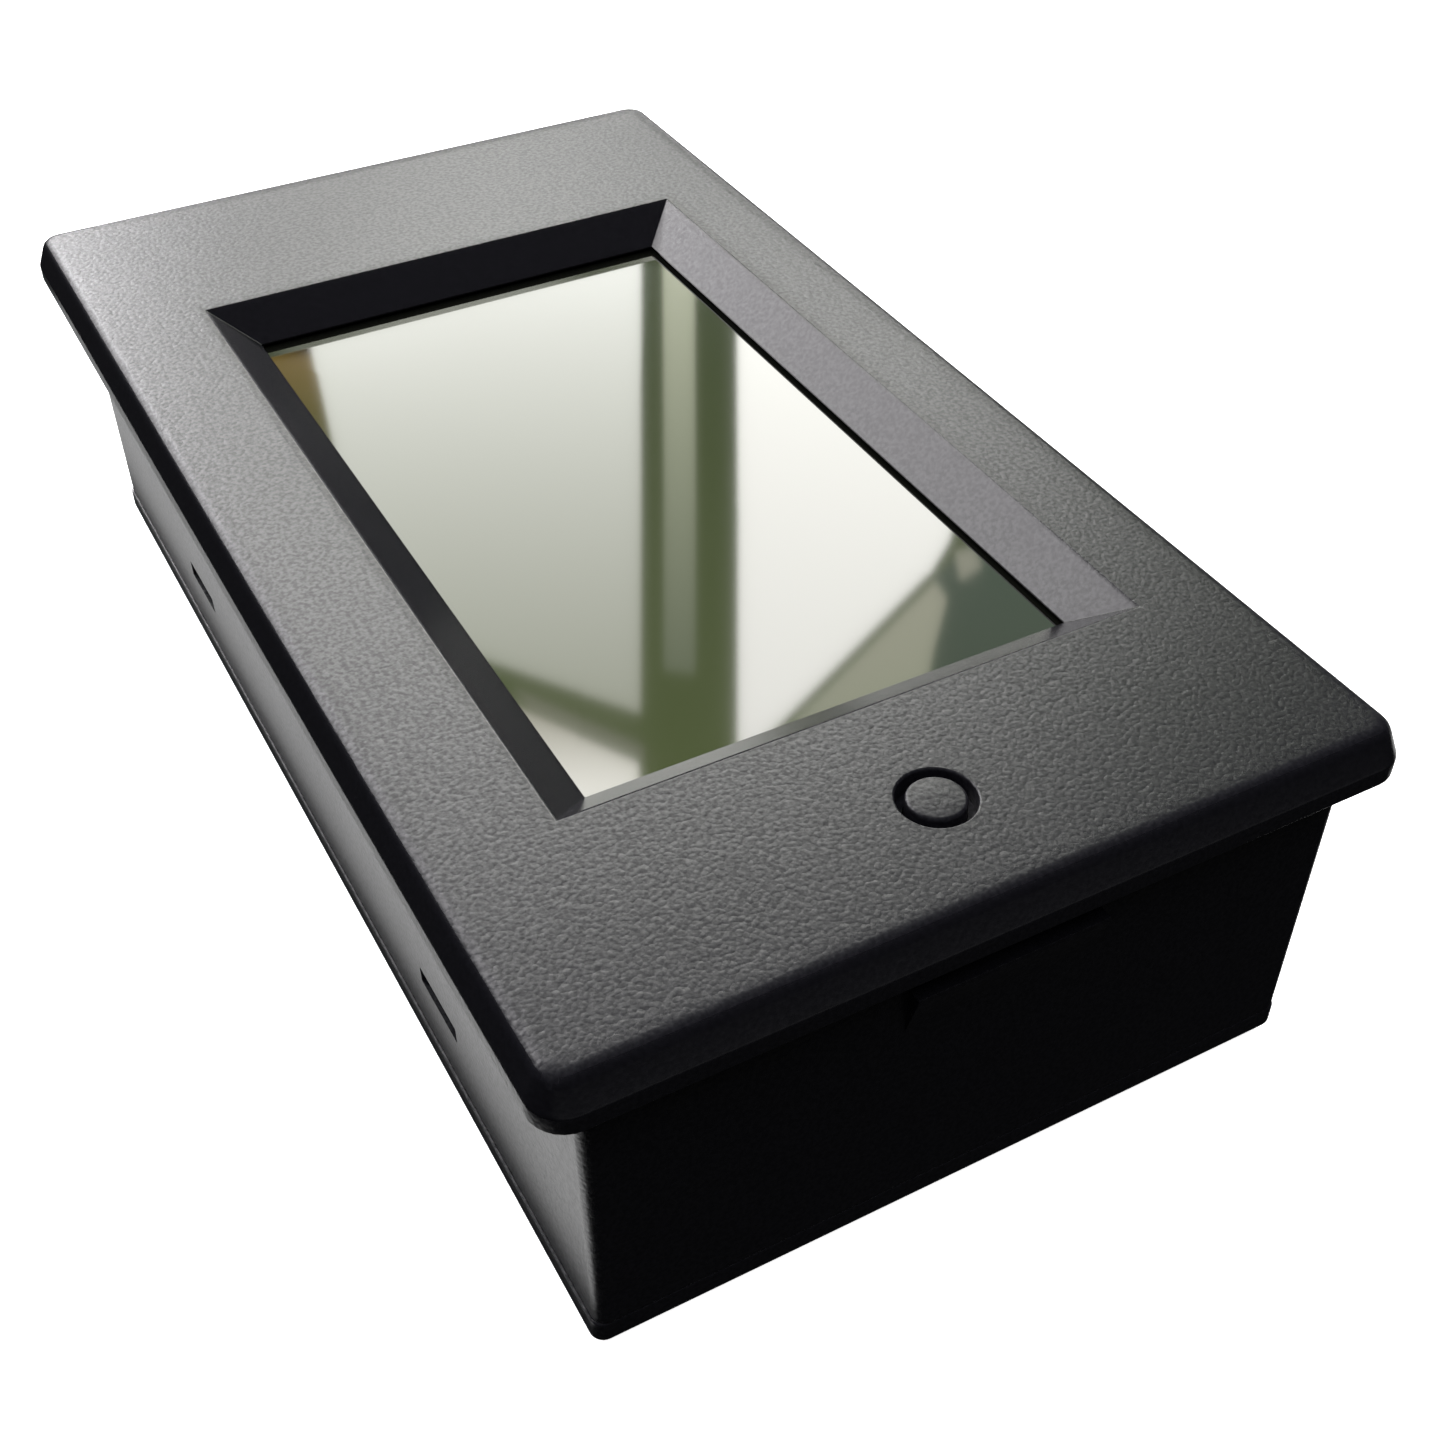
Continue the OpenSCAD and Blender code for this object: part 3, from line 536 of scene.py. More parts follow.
class METER_OT_housing(bpy.types.Operator):
    """Build the front housing: flange, window reveal, box, snaps, screw posts and button guide"""

    bl_idname = "meter.housing"
    bl_label = "Front housing"

    def execute(self, context):
        s, w = context.scene.meter_shell, context.scene.meter_window
        low, high = node_box("front_housing")
        top, rim = high.z, low.z
        seat = top - s.flange_thickness / MM
        lip_top = seat + s.lip_height / MM
        hx, hy = s.body_length / MM / 2, s.body_width / MM / 2
        lean, r = s.draft / MM, s.body_round / MM
        fx, fy = high.x - s.face_inset_x / MM, high.y - s.face_inset_y / MM
        face_r, lip_r, edge = s.face_round / MM, s.lip_round / MM, s.edge_round / MM
        wx, wy = w.centre_x / MM, w.centre_y / MM
        ox, oy = w.opening_length / MM / 2, w.opening_width / MM / 2
        slope, depth = w.slope / MM, w.reveal_depth / MM
        plate = top - depth - REVEAL_STEP
        # Centre, half sizes, corner radius, height and rounding, from the walls' foot to the window.
        outside = softened([
            (0, 0, INNER_X, INNER_Y, 0.3, rim, 0),
            (0, 0, hx, hy - lean, r, rim, 0.15),
            (0, 0, hx, hy, r, seat, 0.12),
            (0, 0, high.x, high.y, lip_r, seat, 0.14),
            (0, 0, high.x, high.y, lip_r, lip_top, 0.12),
            (0, 0, fx, fy, face_r, top, edge),
            (0, 0, fx - 1.2, fy - 1.2, 0.6, top, 0),
            (wx, wy, ox + 0.7, oy + 0.7, 0.3, top, 0),
        ])
        # The mouth of the window has a fine rounded edge, then the reveal runs in straight.
        mouth = [
            Vector((wx, wy, ox + 0.12, oy + 0.12, 0.12, top)),
            Vector((wx, wy, ox + 0.04, oy + 0.04, 0.08, top - 0.012)),
        ]
        reveal = [
            Vector((wx, wy, ox - slope * t, oy - slope * t, 0.06, top - depth * t))
            for t in (0.03, 0.08, 0.92, 1.0)
        ]
        inside = [
            Vector((wx, wy, ox - slope, oy - slope, 0.06, plate)),
            Vector((0, 0, INNER_X, INNER_Y, 0.3, plate)),
        ]
        shell = skin([*outside, *mouth, *reveal, *inside])
        solid = carved(shell, [*self.added(hx, plate), *self.cut(context.scene.meter_button, top, plate)])

        def region(centre, normal):
            """1 on the flange's bevel and on the reveal, which are smooth and carry painted shade; 0
            elsewhere.
            """
            on_bevel = lip_top - 0.05 < centre.z < top - 0.02 and abs(normal.z) < 0.75
            at_edge = abs(centre.x) > fx - 0.1 or abs(centre.y) > fy - 0.1
            in_window = abs(centre.x - wx) < ox + 0.02 and abs(centre.y - wy) < oy + 0.02
            on_reveal = in_window and plate - 0.05 < centre.z < top - 0.02
            return 1 if (on_bevel and at_edge) or on_reveal else 0

        piece("housing_shell", solid, "case", shell_materials(context), ["front_housing"], region)
        return {"FINISHED"}

    def added(self, hx, plate):
        """Posts, button guide, glass ribs and the two panel catches."""
        foot, head = node_box("backlight_tray")[0].z, plate + ROOT
        cap_low, cap_high = node_box("button_cap")
        cx, cy = (cap_low.x + cap_high.x) / 2, (cap_low.y + cap_high.y) / 2
        solids = at_posts(rod(POST_RADIUS, foot, head), 40)
        solids.append(turned(rod(GUIDE_RADIUS, plate - GUIDE_DEPTH, head), cx, cy, 48))
        solids += glass_ribs(head)
        catch = [(hx - 1, 14.8), (hx - 0.1, 15.4), (hx + 0.85, 18.6), (hx + 0.85, 18.9), (hx - 1, 18.9)]
        for side in (1, -1):
            wedge = prism(catch, CATCH_Y - CATCH_HALF, CATCH_Y + CATCH_HALF, "Y", 0.07)
            solids.append(mirrored(wedge, side))
        return [("UNION", solid) for solid in solids]

    def cut(self, button, top, plate):
        """Pilot holes, button bore with its ring groove, snap windows and the wire opening."""
        foot = node_box("backlight_tray")[0].z
        cap_low, cap_high = node_box("button_cap")
        cx, cy = (cap_low.x + cap_high.x) / 2, (cap_low.y + cap_high.y) / 2
        solids = at_posts(rod(PILOT_RADIUS, foot - 1, foot + PILOT_DEPTH), 32)
        bore = button.cap / MM / 2 + button.clearance / MM
        groove, floor = button.groove / MM / 2, top - button.groove_depth / MM
        start, mouth = plate - GUIDE_DEPTH - 1, groove + GROOVE_FLARE
        flare = arc(mouth, top - GROOVE_FLARE, GROOVE_FLARE, 180, 90, 4)
        solids.append(turned([
            (0, start), (bore, start), (bore, floor), (groove, floor), *flare, (mouth, top + 1), (0, top + 1),
        ], cx, cy, 72))
        for x in SNAP_X:
            solids.append(block(x - SNAP_HALF, x + SNAP_HALF, -BEYOND_Y, BEYOND_Y, SNAP_LOW, SNAP_HIGH, 0.12))
        wires_low, wires_high = node_box("terminal_block")
        solids.append(block(-BEYOND_X, 1 - INNER_X, wires_low.y, wires_high.y, WIRE_LOW, WIRE_HIGH, 0.15))
        return [("DIFFERENCE", solid) for solid in solids]


class METER_OT_cover(bpy.types.Operator):
    """Build the rear cover with its hooks, terminal opening and label recess"""

    bl_idname = "meter.cover"
    bl_label = "Rear cover"

    def execute(self, context):
        low, high = node_box("terminal_block")
        base = skin(softened([
            (0, 0, COVER_X - 3, COVER_Y - 3, 0.3, 0, 0),
            (0, 0, COVER_X - 0.6, COVER_Y - 0.6, 0.5, 0, 0.18),
            (0, 0, COVER_X, COVER_Y, 0.8, 1.0, 0.12),
            (0, 0, COVER_X, COVER_Y, 0.8, COVER_RIM, 0.12),
            (0, 0, INNER_X, INNER_Y, 0.3, COVER_RIM, 0),
            (0, 0, SKIRT_X, SKIRT_Y, 0.3, COVER_RIM, 0),
            (0, 0, SKIRT_X, SKIRT_Y, 0.3, SKIRT_TOP, 0.15),
            (0, 0, INNER_X - 1.35, INNER_Y - 1.3, 0.3, SKIRT_TOP, 0.15),
            (0, 0, INNER_X - 1.35, INNER_Y - 1.5, 0.3, COVER_PLATE, 0.2),
            (0, 0, INNER_X - 4, INNER_Y - 4, 0.3, COVER_PLATE, 0),
        ]), closed=False)
        # (y, z) outline of a hook: a stem up the wall and a nose that snaps into the window.
        foot = COVER_PLATE - 0.1
        hook = [(SKIRT_Y - 1.4, foot), (SKIRT_Y, foot), (SKIRT_Y, 6.45), (SKIRT_Y + 1.2, 6.45),
                (SKIRT_Y + 1.2, 6.9), (SKIRT_Y, 7.5), (SKIRT_Y - 0.5, 8.4), (SKIRT_Y - 1.4, 8.4)]
        steps = []
        for x in SNAP_X:
            for side in (1, -1):
                steps.append(("UNION", mirrored(prism(hook, x - HOOK_HALF, x + HOOK_HALF, "X"), 1, side)))
        gap, below_rim = 0.4, COVER_RIM - 0.01
        access = block(low.x - gap, high.x + gap, low.y - gap, high.y + gap, -1, below_rim)
        relief = block(-BEYOND_X, high.x + 1, low.y - 1, high.y + 1, COVER_RIM, 6)
        recess = skin([
            Vector((LABEL_X, 0, LABEL_HALF_X, LABEL_HALF_Y, LABEL_ROUND, z)) for z in (-1, LABEL_DEPTH)
        ], closed=False)
        steps += [("DIFFERENCE", solid) for solid in (access, relief, recess)]
        solid = carved(base, steps)
        piece("rear_cover_shell", solid, "case", shell_materials(context), ["rear_cover"])
        return {"FINISHED"}


class METER_OT_button(bpy.types.Operator):
    """Build the round push button cap"""

    bl_idname = "meter.button"
    bl_label = "Push button"

    def execute(self, context):
        low, high = node_box("button_cap")
        cx, cy = (low.x + high.x) / 2, (low.y + high.y) / 2
        r, foot = context.scene.meter_button.cap / MM / 2, (high.x - low.x) / 2
        shoulder, crown = low.z + 0.8, 0.2
        cap = turned([
            (0, low.z), (foot - 0.15, low.z), (foot, low.z + 0.15),
            (foot, shoulder - 0.1), (foot - 0.1, shoulder), (r + 0.08, shoulder), (r, shoulder + 0.08),
            *arc(r - crown, high.z - crown, crown, 0, 90, 6), (0, high.z),
        ], cx, cy, 96)
        piece("button_cap_top", cap, "button", shell_materials(context)[:1], ["button_cap"])
        return {"FINISHED"}


class METER_OT_display(bpy.types.Operator):
    """Build the gasket, the polarising film and the two glass plates of the display"""

    bl_idname = "meter.display"
    bl_label = "Display"

    def execute(self, context):
        w = context.scene.meter_window
        # Die-cut microcellular foam: dull, with fine open cells along its cut edge.
        cut, cell = tuple(w.gasket), tuple(c * 2 for c in w.gasket)
        foam = finish("EPDM foam, die cut", cut, cell, 1.5, (0.8, 0.95), 0.15, 12)
        low, high = node_box("window_gasket")
        cx, cy = (low.x + high.x) / 2, (low.y + high.y) / 2
        hx, hy, width = (high.x - low.x) / 2, (high.y - low.y) / 2, 1.5
        gasket = skin(softened([
            (cx, cy, hx, hy, 0.5, low.z, 0.05),
            (cx, cy, hx, hy, 0.5, high.z, 0.05),
            (cx, cy, hx - width, hy - width, 0.1, high.z, 0.06),
            (cx, cy, hx - width, hy - width, 0.1, low.z, 0.05),
        ], 2))
        piece("window_gasket_ring", gasket, "case", [foam], ["window_gasket"])
        self.sheet("lcd_film_face", "lcd_front_film", polarising_film(tuple(w.film)), "film", 0.3, 0.04)
        # Soda-lime cell glass with ground edges: faint green, cloudy only where it was cut.
        glass = finish("Soda-lime glass, cut", *tones("#8d9a8b", "#9dab9a"), 8.0, (0.06, 0.12), 0.5,
                       fixed={"IOR": 1.52, "Transmission Weight": 0.5})
        self.sheet("lcd_front_glass_plate", "lcd_front_glass", glass, "glass", 0.2, 0.12)
        self.sheet("lcd_rear_glass_plate", "lcd_rear_glass", glass, "glass", 0.2, 0.12)
        return {"FINISHED"}

    def sheet(self, name, node, material, slot, corner, soft):
        """Flat plate the size of a CAD node, with rounded corners and softened edges."""
        low, high = node_box(node)
        cx, cy = (low.x + high.x) / 2, (low.y + high.y) / 2
        hx, hy = (high.x - low.x) / 2, (high.y - low.y) / 2
        solid = skin(softened([
            (cx, cy, 0.5, 0.5, 0.1, low.z, 0),
            (cx, cy, hx, hy, corner, low.z, soft),
            (cx, cy, hx, hy, corner, high.z, soft),
            (cx, cy, 0.5, 0.5, 0.1, high.z, 0),
        ], 2), closed=False)
        piece(name, solid, "case", [material], [node])


class METER_OT_dome(bpy.types.Operator):
    """Build the switch's snap dome in its resting shape"""

    bl_idname = "meter.dome"
    bl_label = "Snap dome"

    def execute(self, context):
        low, high = node_box("switch_dome")
        cx, cy = (low.x + high.x) / 2, (low.y + high.y) / 2
        r, h = (high.x - low.x) / 2, high.z - low.z
        strip, count = 0.06, 12
        turns = [i / count for i in range(count + 1)]
        top = [(r * t, low.z + strip + (h - strip) * (1 - t ** 2.2)) for t in turns]
        under = [(radius * 0.985, z - strip) for radius, z in reversed(top)]
        profile = [(0, top[0][1]), *top[1:], *under[:-1], (0, under[-1][1])]
        # Half-hard stainless strip, formed cold: bright, with faint turned marks.
        steel = finish(
            "Stainless spring steel, formed", *tones("#c4c6c8", "#d6d8da"), 1.2, (0.16, 0.28), 0.2, 0.6, 1.0)
        disc = turned(profile, cx, cy, 64)
        made = piece("switch_dome_disc", disc, "case", [steel], ["switch_dome"])
        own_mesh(made)
        return {"FINISHED"}


# ---------------- finishes of the carried-over parts


def shrink(node, low=(0, 0, 0), high=(0, 0, 0)):
    """A node's box drawn in from its corners, in millimetres."""
    lowest, highest = node_box(node)
    return lowest + Vector(low), highest - Vector(high)


def display_finishes():
    return {
        # Silvered polyester film: satin, an even pale grey.
        "rear_label": finish("Polyester label, satin", *tones("#bfc1c3", "#cbcdcf"), 6, (0.28, 0.36), 0.4, 1),
        # Aluminised reflector film behind the cell: a cloudy mirror.
        "lcd_rear_film": finish("Reflector film", *tones("#b3b8b0", "#c2c7be"), 5, (0.2, 0.3), 0.4, 0.5, 0.6),
        # Cast acrylic plate, edge polished: clear and glossy.
        "light_guide": finish("Acrylic, polished", *tones("#e6ebea", "#f0f4f2"), 6, (0.05, 0.12), 0.4,
                              fixed={"IOR": 1.49, "Transmission Weight": 0.7}),
        # White-filled polycarbonate, moulded matt to throw light back.
        "backlight_tray": finish(
            "White polycarbonate, moulded", *tones("#e4e4de", "#f3f3ee"), 4, (0.4, 0.55), 0.3, 3),
        # Phosphor gel in a white case: a soft, wet-looking yellow.
        "backlight_leds": finish("Phosphor gel", *tones("#e2c65a", "#f3e7a4"), 0.6, (0.2, 0.35), 0.2, 2),
        # Tin over brass strip: pale and bright, with a slightly cloudy gloss.
        "lcd_pins": finish(
            "Tinned brass strip", *tones("#bfc0c2", "#d4d5d6"), 0.8, (0.22, 0.36), 0.15, 1, 1.0),
    }


def switch_finishes():
    return {
        # Stamped and tinned: the same pale gloss as the display's pins.
        "switch_legs": finish(
            "Tinned brass, stamped", *tones("#bfc0c2", "#d4d5d6"), 0.8, (0.22, 0.36), 0.15, 1, 1.0),
        # Glass fibre brings a dull, faintly rough black.
        "switch_body": finish("Nylon, glass filled", *DARK, 1.0, (0.45, 0.6), 0.12, 4),
        # Turned acetal: a waxy, smoother black.
        "switch_plunger": finish("Acetal, turned", *tones("#17171a", "#222226"), 1.0, (0.3, 0.42), 0.12, 2),
        # Stamped stainless sheet: bright, cool and a little brushed.
        "switch_cover": finish(
            "Stainless sheet, stamped", *tones("#bbbdc0", "#cfd1d3"), 0.7, (0.2, 0.34), 0.1, 1, 1.0),
    }


def terminal_finishes():
    # Zinc plate with a clear passivate: bluish, soft glints in the recess.
    zinc = finish("Steel, zinc plated", *tones("#a9adb2", "#c3c6ca"), 1.2, (0.24, 0.38), 0.15, 2, 1.0)
    # Nickel plate: a warmer, brighter grey.
    nickel = finish("Steel, nickel plated", *tones("#b4b2ac", "#cac8c2"), 1.2, (0.2, 0.34), 0.15, 2, 1.0)
    # A thin nickel flash lets the brass show through as a pale gold.
    brass = finish("Brass, nickel flashed", *tones("#b89a55", "#cdb476"), 1.5, (0.24, 0.4), 0.2, 2, 1.0)
    named = {
        # Flame-retardant nylon: satin black with a faint flow mottle.
        "terminal_block": finish(
            "Flame-retardant nylon, moulded", *tones("#1a1b1d", "#26272a"), 3, (0.38, 0.52), 0.2, 5),
        # Thin tin over bronze: straw-coloured, satin.
        "terminal_strips": finish(
            "Phosphor bronze strip, tinned", *tones("#b8a878", "#cfc39a"), 1.2, (0.24, 0.38), 0.2, 1, 1.0),
    }
    for i in range(1, 5):
        named[f"board_screw_{i}"] = zinc
        named[f"terminal_screw_{i}"] = nickel
        named[f"terminal_clamp_{i}"] = brass
    return named


def chip_finishes():
    """Black epoxy mouldings: dull and dark, with bright tinned leads outside the moulding."""
    row, drop = (0, 1.45, 0), (0, 0.9, 0)
    packages = {
        "metering_chip": ("large chip", row, row),
        "control_chip": ("controller", row, row),
        "memory_chip": ("small chip", row, row),
        "regulator": ("regulator", (-9, 0, 0), (-9, 0.6, 0.1)),
        "bridge_rectifier": ("rectifier", drop, (0, 0.9, 0.3)),
    }
    named = {}
    for node, (kind, low, high) in packages.items():
        leads = shrink(node, low, high)
        named[node] = finish(f"Epoxy moulding, {kind}", *DARK, 0.8, (0.5, 0.65), 0.1, 4, leads=leads)
    return named


def component_finishes():
    return {
        # Drawn and nickel plated: a smooth, bright can.
        "crystal_can": finish(
            "Nickel-plated can, drawn", *tones("#b9bbbe", "#cfd1d3"), 1.5, (0.18, 0.3), 0.2, 1, 1.0),
        # Bare resistance strip: brownish copper grey, satin from the roll.
        "current_shunt": finish(
            "Manganin strip, bent", *tones("#9a8a7a", "#b3a393"), 1.0, (0.3, 0.45), 0.15, 1, 1.0),
        # Moulded polyester box: flat yellow with a soft gloss.
        "film_capacitor": finish(
            "Polyester box, yellow", *tones("#b59a23", "#c9ad34"), 2.5, (0.3, 0.42), 0.2, 2,
            leads=shrink("film_capacitor", high=(0, 0, 1.8))),
        # Dipped epoxy: deep blue with an orange-peel gloss.
        "varistor": finish("Epoxy dip, blue", *tones("#1e4c97", "#2f63b4"), 2.0, (0.22, 0.36), 0.3, 5,
                           leads=shrink("varistor", high=(0, 0, 2.8))),
        # Shrunk sleeve over aluminium: dark blue and smooth, with a soft sheen.
        "smoothing_capacitor": finish(
            "Sleeved aluminium can", *tones("#16245c", "#21337a"), 3.0, (0.25, 0.38), 0.3, 2,
            leads=shrink("smoothing_capacitor", (0, 0, 0.12), (0, 0, 1.9))),
        # Cement coat: chalky green.
        "fuse_resistor": finish("Cement coat, green", *tones("#6f9a80", "#86b097"), 1.2, (0.5, 0.65), 0.15, 6,
                                leads=shrink("fuse_resistor", (2.3, 0, 0), (2.3, 0, 1.5))),
    }


class METER_OT_finishes(bpy.types.Operator):
    """Give every other CAD node its own real finish"""

    bl_idname = "meter.finishes"
    bl_label = "Electronics finishes"

    def execute(self, context):
        named = {
            **display_finishes(), **switch_finishes(), **terminal_finishes(), **chip_finishes(),
            **component_finishes(),
            "main_board": masked_board(),
        }
        for name, material in named.items():
            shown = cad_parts[name]
            shown.data.materials.clear()
            shown.data.materials.append(material)
        return {"FINISHED"}


# ---------------- stage

# Where the camera stands, in millimetres, and how it is turned.
EYE = Vector((91.5405, -42.0630, 89.1889))
TILT = Euler([math.radians(a) for a in (48.68477, -0.206495, 61.27772)], "XYZ")

# Light cards that the display mirrors, on a plane square to the mirrored line of sight: corners in
# millimetres on that plane, then linear RGB radiance at the display's far end and at its near end,
# then how far behind the plane the card stands.
CARD_DISTANCE = 450.0
CARDS = (
    ("card_back", [(-150, 150), (150, 150), (150, -20), (-150, -20)],
     (0.04, 0.08, 0.03), (0.64, 0.82, 0.32), 20.0),
    ("card_left", [(-106.8, 130), (-19.3, 130), (-19.3, 1.7), (-88.3, 25.4), (-88.3, 45)],
     (4.5, 4.55, 4.3), (2.7, 2.8, 2.3), 0.0),
    ("card_strip", [(-13.9, 120), (-6.3, 120), (-6.3, 11), (-13.9, 12)],
     (2.3, 2.4, 1.8), (1.0, 1.15, 0.75), 0.0),
    ("card_right", [(3.7, 110), (110, 110), (56, 50), (54.3, 43.5), (49.5, 35.5), (3.7, -11.1)],
     (5.2, 5.2, 4.9), (6.3, 6.25, 5.9), 0.0),
    ("card_ledge", [(-50.4, 8.2), (-18.4, -6.1), (-18.4, -9.4), (-45.7, 2.5)],
     (1.1, 1.15, 0.8), (1.1, 1.15, 0.8), 0.0),
    ("card_low", [(-52, 4.6), (-19.6, -10.1), (-19.6, -18.4), (-48, -25.5)],
     (2.4, 2.3, 1.8), (8.4, 8.3, 7.7), 0.0),
    ("card_sill", [(17.7, 0.1), (50.7, 33.3), (53.5, 29.1), (50.4, 17.2), (48.1, 5.3), (18.4, -5.3)],
     (2.2, 2.2, 1.7), (2.2, 2.3, 1.7), 0.0),
    ("card_spot", [(55.2, 40.9), (59.9, 42.1), (62.3, 37.4), (56.8, 33.8)],
     (1.9, 1.9, 1.5), (1.9, 1.9, 1.5), 0.0),
    ("card_corner", [(50, 34), (62, 46), (110, 46), (110, -10), (48, -10)],
     (0.45, 0.6, 0.45), (0.5, 0.64, 0.46), 10.0),
    ("card_edge", [(-114, 89), (-92, 89), (-92, 62), (-114, 62)],
     (0.9, 0.6, 0.15), (0.35, 0.4, 0.1), 10.0),
    ("card_post", [(-120, 112), (-90, 112), (-90, 88), (-120, 88)],
     (0.03, 0.03, 0.05), (0.03, 0.03, 0.05), 8.0),
)

# Glowing sheets just over the table that only the side walls mirror: x and y extent in millimetres,
# and radiance.
BOUNCE_HEIGHT = 0.4
BOUNCES = (
    ("bounce_near_side", -80, 43, -34, -24.5, 1.6),
    ("bounce_far_side", -60, 42, 25, 140, 0.9),
    ("bounce_terminal_end", -170, -45, -20, 140, 0.9),
    ("bounce_button_end", 125, 260, -140, 140, 0.2),
)

# Soft lights around the part: bearing from -X towards +Y and height angle in degrees, distance,
# width and height in millimetres, and power in watts.
LIGHTS = (
    ("low_mid", 5, 24.5, 650, 260, 57, 1.8),
    ("low_far_side", 27, 23.0, 650, 300, 57, 2.8),
    ("low_near_side", -25, 24.0, 650, 320, 70, 0.8),
    ("left_wall", 1, 42, 700, 120, 300, 0.75),
    ("window", -26, 41, 700, 340, 320, 1.7),
)
LIGHT_TONE = (1.0, 0.98, 1.0)
AIM = Vector((0, 0, 0.02))

# Lights over and under the part that no gloss mirrors: place, then width and depth, in metres.
OVERHEAD = (0, 0, 0.9), (1.4, 1.4)
UNDERNEATH = (0, 0, -0.8), (0.06, 0.04)
UNDERNEATH_POWER = 4.0


def light_card(name, corners, far, near):
    """Flat glowing card that only mirror-like rays meet; its radiance runs from its low to its high side."""
    bm = bmesh.new()
    bm.faces.new([bm.verts.new(c) for c in corners])
    card = scratch_object(bm, name)
    material, tree, place = start_material(name)
    across = add(tree, "ShaderNodeTexCoord").outputs["Generated"]
    height = add(tree, "ShaderNodeSeparateXYZ", {0: across}).outputs[2]
    tone = add(tree, "ShaderNodeMix", {"Factor": height, "A": (*far, 1), "B": (*near, 1)}, data_type="RGBA")
    glow = add(tree, "ShaderNodeEmission", {"Color": tone.outputs["Result"]})
    add(tree, "ShaderNodeOutputMaterial", {"Surface": glow.outputs[0]})
    card.data.materials.append(material)
    card.visible_camera = card.visible_diffuse = card.visible_shadow = False
    card.visible_transmission = card.visible_volume_scatter = False


def area_light(name, place, target, size, power):
    """Rectangular soft light that faces a target, in metres."""
    data = bpy.data.lights.new(name, "AREA")
    data.shape, data.size, data.size_y = "RECTANGLE", size[0], size[1]
    data.energy, data.color = power, LIGHT_TONE
    made = bpy.data.objects.new(name, data)
    made.location = place
    made.rotation_euler = (Vector(target) - Vector(place)).to_track_quat("-Z", "Y").to_euler()
    bpy.context.scene.collection.objects.link(made)
    return made


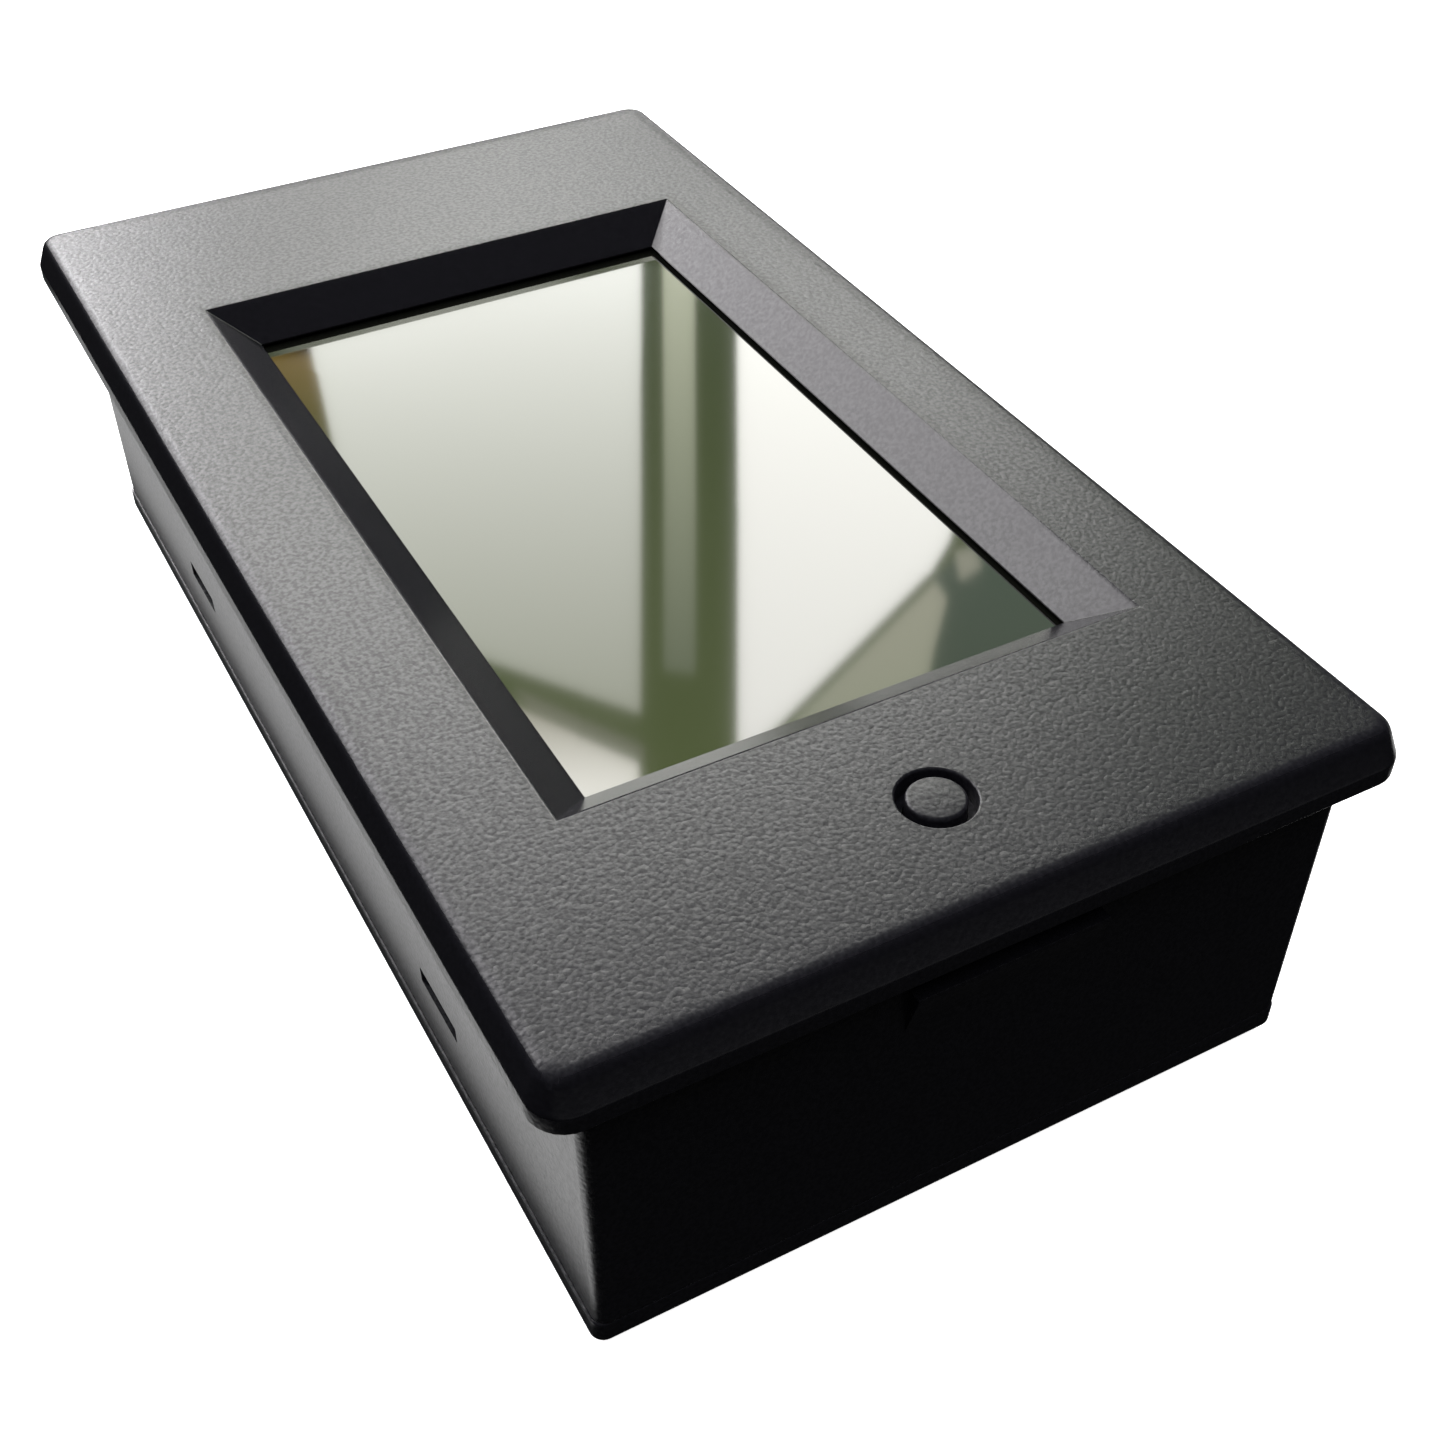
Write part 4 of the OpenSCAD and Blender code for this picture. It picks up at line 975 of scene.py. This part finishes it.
class METER_OT_stage(bpy.types.Operator):
    """Set the pale floor, the soft studio lights, the light cards and the camera"""

    bl_idname = "meter.stage"
    bl_label = "Stage, light and camera"

    def execute(self, context):
        scene, s = context.scene, context.scene.meter_stage
        scene.view_settings.view_transform = "Standard"
        self.camera(scene, s.lens)
        self.floor(tuple(s.floor))
        self.surroundings(scene)
        self.lights(s.overhead)
        self.cards()
        return {"FINISHED"}

    def camera(self, scene, lens):
        data = bpy.data.cameras.new("camera")
        data.lens, data.sensor_width, data.sensor_fit = lens, 36.0, "HORIZONTAL"
        data.clip_start, data.clip_end = 0.01, 20
        camera = bpy.data.objects.new("camera", data)
        camera.location = EYE * MM
        camera.rotation_euler = TILT
        scene.collection.objects.link(camera)
        scene.camera = camera

    def floor(self, base):
        """Plain matt floor that glows a little, as a lit sweep does; from below it lets the view through."""
        material, tree, place = start_material("Floor, matt paint")
        drift = add(tree, "ShaderNodeTexNoise", {"Vector": place, "Scale": cycles(120.0)}).outputs["Fac"]
        tone = add(tree, "ShaderNodeMix", {
            "Factor": drift, "A": (*[c * 0.99 for c in base], 1), "B": (*base, 1),
        }, data_type="RGBA")
        shader = add(tree, "ShaderNodeBsdfPrincipled", {
            "Base Color": tone.outputs["Result"], "Roughness": 0.9,
            "Emission Color": (1, 1, 1, 1), "Emission Strength": 0.85,
        })
        clear = add(tree, "ShaderNodeBsdfTransparent")
        below = add(tree, "ShaderNodeNewGeometry").outputs["Backfacing"]
        sheet = add(tree, "ShaderNodeMixShader", {0: below, 1: shader.outputs[0], 2: clear.outputs[0]})
        add(tree, "ShaderNodeOutputMaterial", {"Surface": sheet.outputs[0]})
        bm = bmesh.new()
        bmesh.ops.create_grid(bm, x_segments=1, y_segments=1, size=4.0)
        floor = scratch_object(bm, "floor")
        floor.data.materials.append(material)
        floor.visible_glossy = floor.visible_diffuse = floor.visible_shadow = False

    def surroundings(self, scene):
        """White to the eye, but nearly dark to the part, so that only the lights shape it."""
        world = bpy.data.worlds.new("world")
        scene.world = world
        world.use_nodes = True
        tree = world.node_tree
        tree.nodes.clear()
        seen = add(tree, "ShaderNodeLightPath").outputs["Is Camera Ray"]
        strength = add(tree, "ShaderNodeMapRange", {"Value": seen, "To Min": 0.012, "To Max": 1.0})
        strength = strength.outputs["Result"]
        glow = add(tree, "ShaderNodeBackground", {"Color": (1, 1, 1, 1), "Strength": strength})
        add(tree, "ShaderNodeOutputWorld", {"Surface": glow.outputs[0]})

    def lights(self, overhead_power):
        place, size = OVERHEAD
        overhead = area_light("overhead", place, (0, 0, 0), size, overhead_power)
        overhead.visible_glossy = False
        for name, bearing, rise, distance, width, height, power in LIGHTS:
            around, up = math.radians(bearing), math.radians(rise)
            way = Vector((-math.cos(around) * math.cos(up), math.sin(around) * math.cos(up), math.sin(up)))
            area_light(name, AIM + way * distance * MM, AIM, (width * MM, height * MM), power)
        place, size = UNDERNEATH
        underneath = area_light("underneath", place, (0, 0, 0), size, UNDERNEATH_POWER)
        underneath.visible_glossy = False

    def cards(self):
        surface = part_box("lcd_front_film")[1][2]
        eye = Vector((EYE.x * MM, EYE.y * MM, 2 * surface - EYE.z * MM))
        turn = TILT.to_matrix()
        flip = Matrix.Diagonal((1, 1, -1))
        for name, corners, far, near, behind in CARDS:
            reach = (CARD_DISTANCE + behind) / CARD_DISTANCE * MM
            places = [eye + flip @ turn @ Vector((x, y, -CARD_DISTANCE)) * reach for x, y in corners]
            light_card(name, places, far, near)
        for name, x0, x1, y0, y1, bright in BOUNCES:
            corners = (x0, y0), (x1, y0), (x1, y1), (x0, y1)
            places = [Vector((x, y, BOUNCE_HEIGHT)) * MM for x, y in corners]
            light_card(name, places, (bright,) * 3, (bright,) * 3)


OPERATORS = (
    METER_OT_housing, METER_OT_cover, METER_OT_button, METER_OT_display, METER_OT_dome, METER_OT_finishes,
    METER_OT_stage,
)


class METER_PT_panel(bpy.types.Panel):
    """Lists the steps that build the meter's looks"""

    bl_idname = "METER_PT_panel"
    bl_label = "Panel Meter"
    bl_space_type = "VIEW_3D"
    bl_region_type = "UI"
    bl_category = "Panel Meter"

    def draw(self, context):
        for group in GROUPS:
            settings = getattr(context.scene, group)
            box = self.layout.box()
            for key in settings.bl_rna.properties.keys():
                if key not in ("rna_type", "name"):
                    box.prop(settings, key)
        for operator in OPERATORS:
            self.layout.operator(operator.bl_idname)


GROUPS = {
    "meter_shell": MeterShell,
    "meter_window": MeterWindow,
    "meter_button": MeterButton,
    "meter_stage": MeterStage,
}


def register():
    for made in (*GROUPS.values(), *OPERATORS, METER_PT_panel):
        bpy.utils.register_class(made)
    for name, group in GROUPS.items():
        setattr(bpy.types.Scene, name, bpy.props.PointerProperty(type=group))


def unregister():
    for name in GROUPS:
        delattr(bpy.types.Scene, name)
    for made in reversed((*GROUPS.values(), *OPERATORS, METER_PT_panel)):
        bpy.utils.unregister_class(made)


def main():
    register()
    bpy.ops.meter.housing()
    bpy.ops.meter.cover()
    bpy.ops.meter.button()
    bpy.ops.meter.display()
    bpy.ops.meter.dome()
    bpy.ops.meter.finishes()
    bpy.ops.meter.stage()


if __name__ == "__main__":
    main()
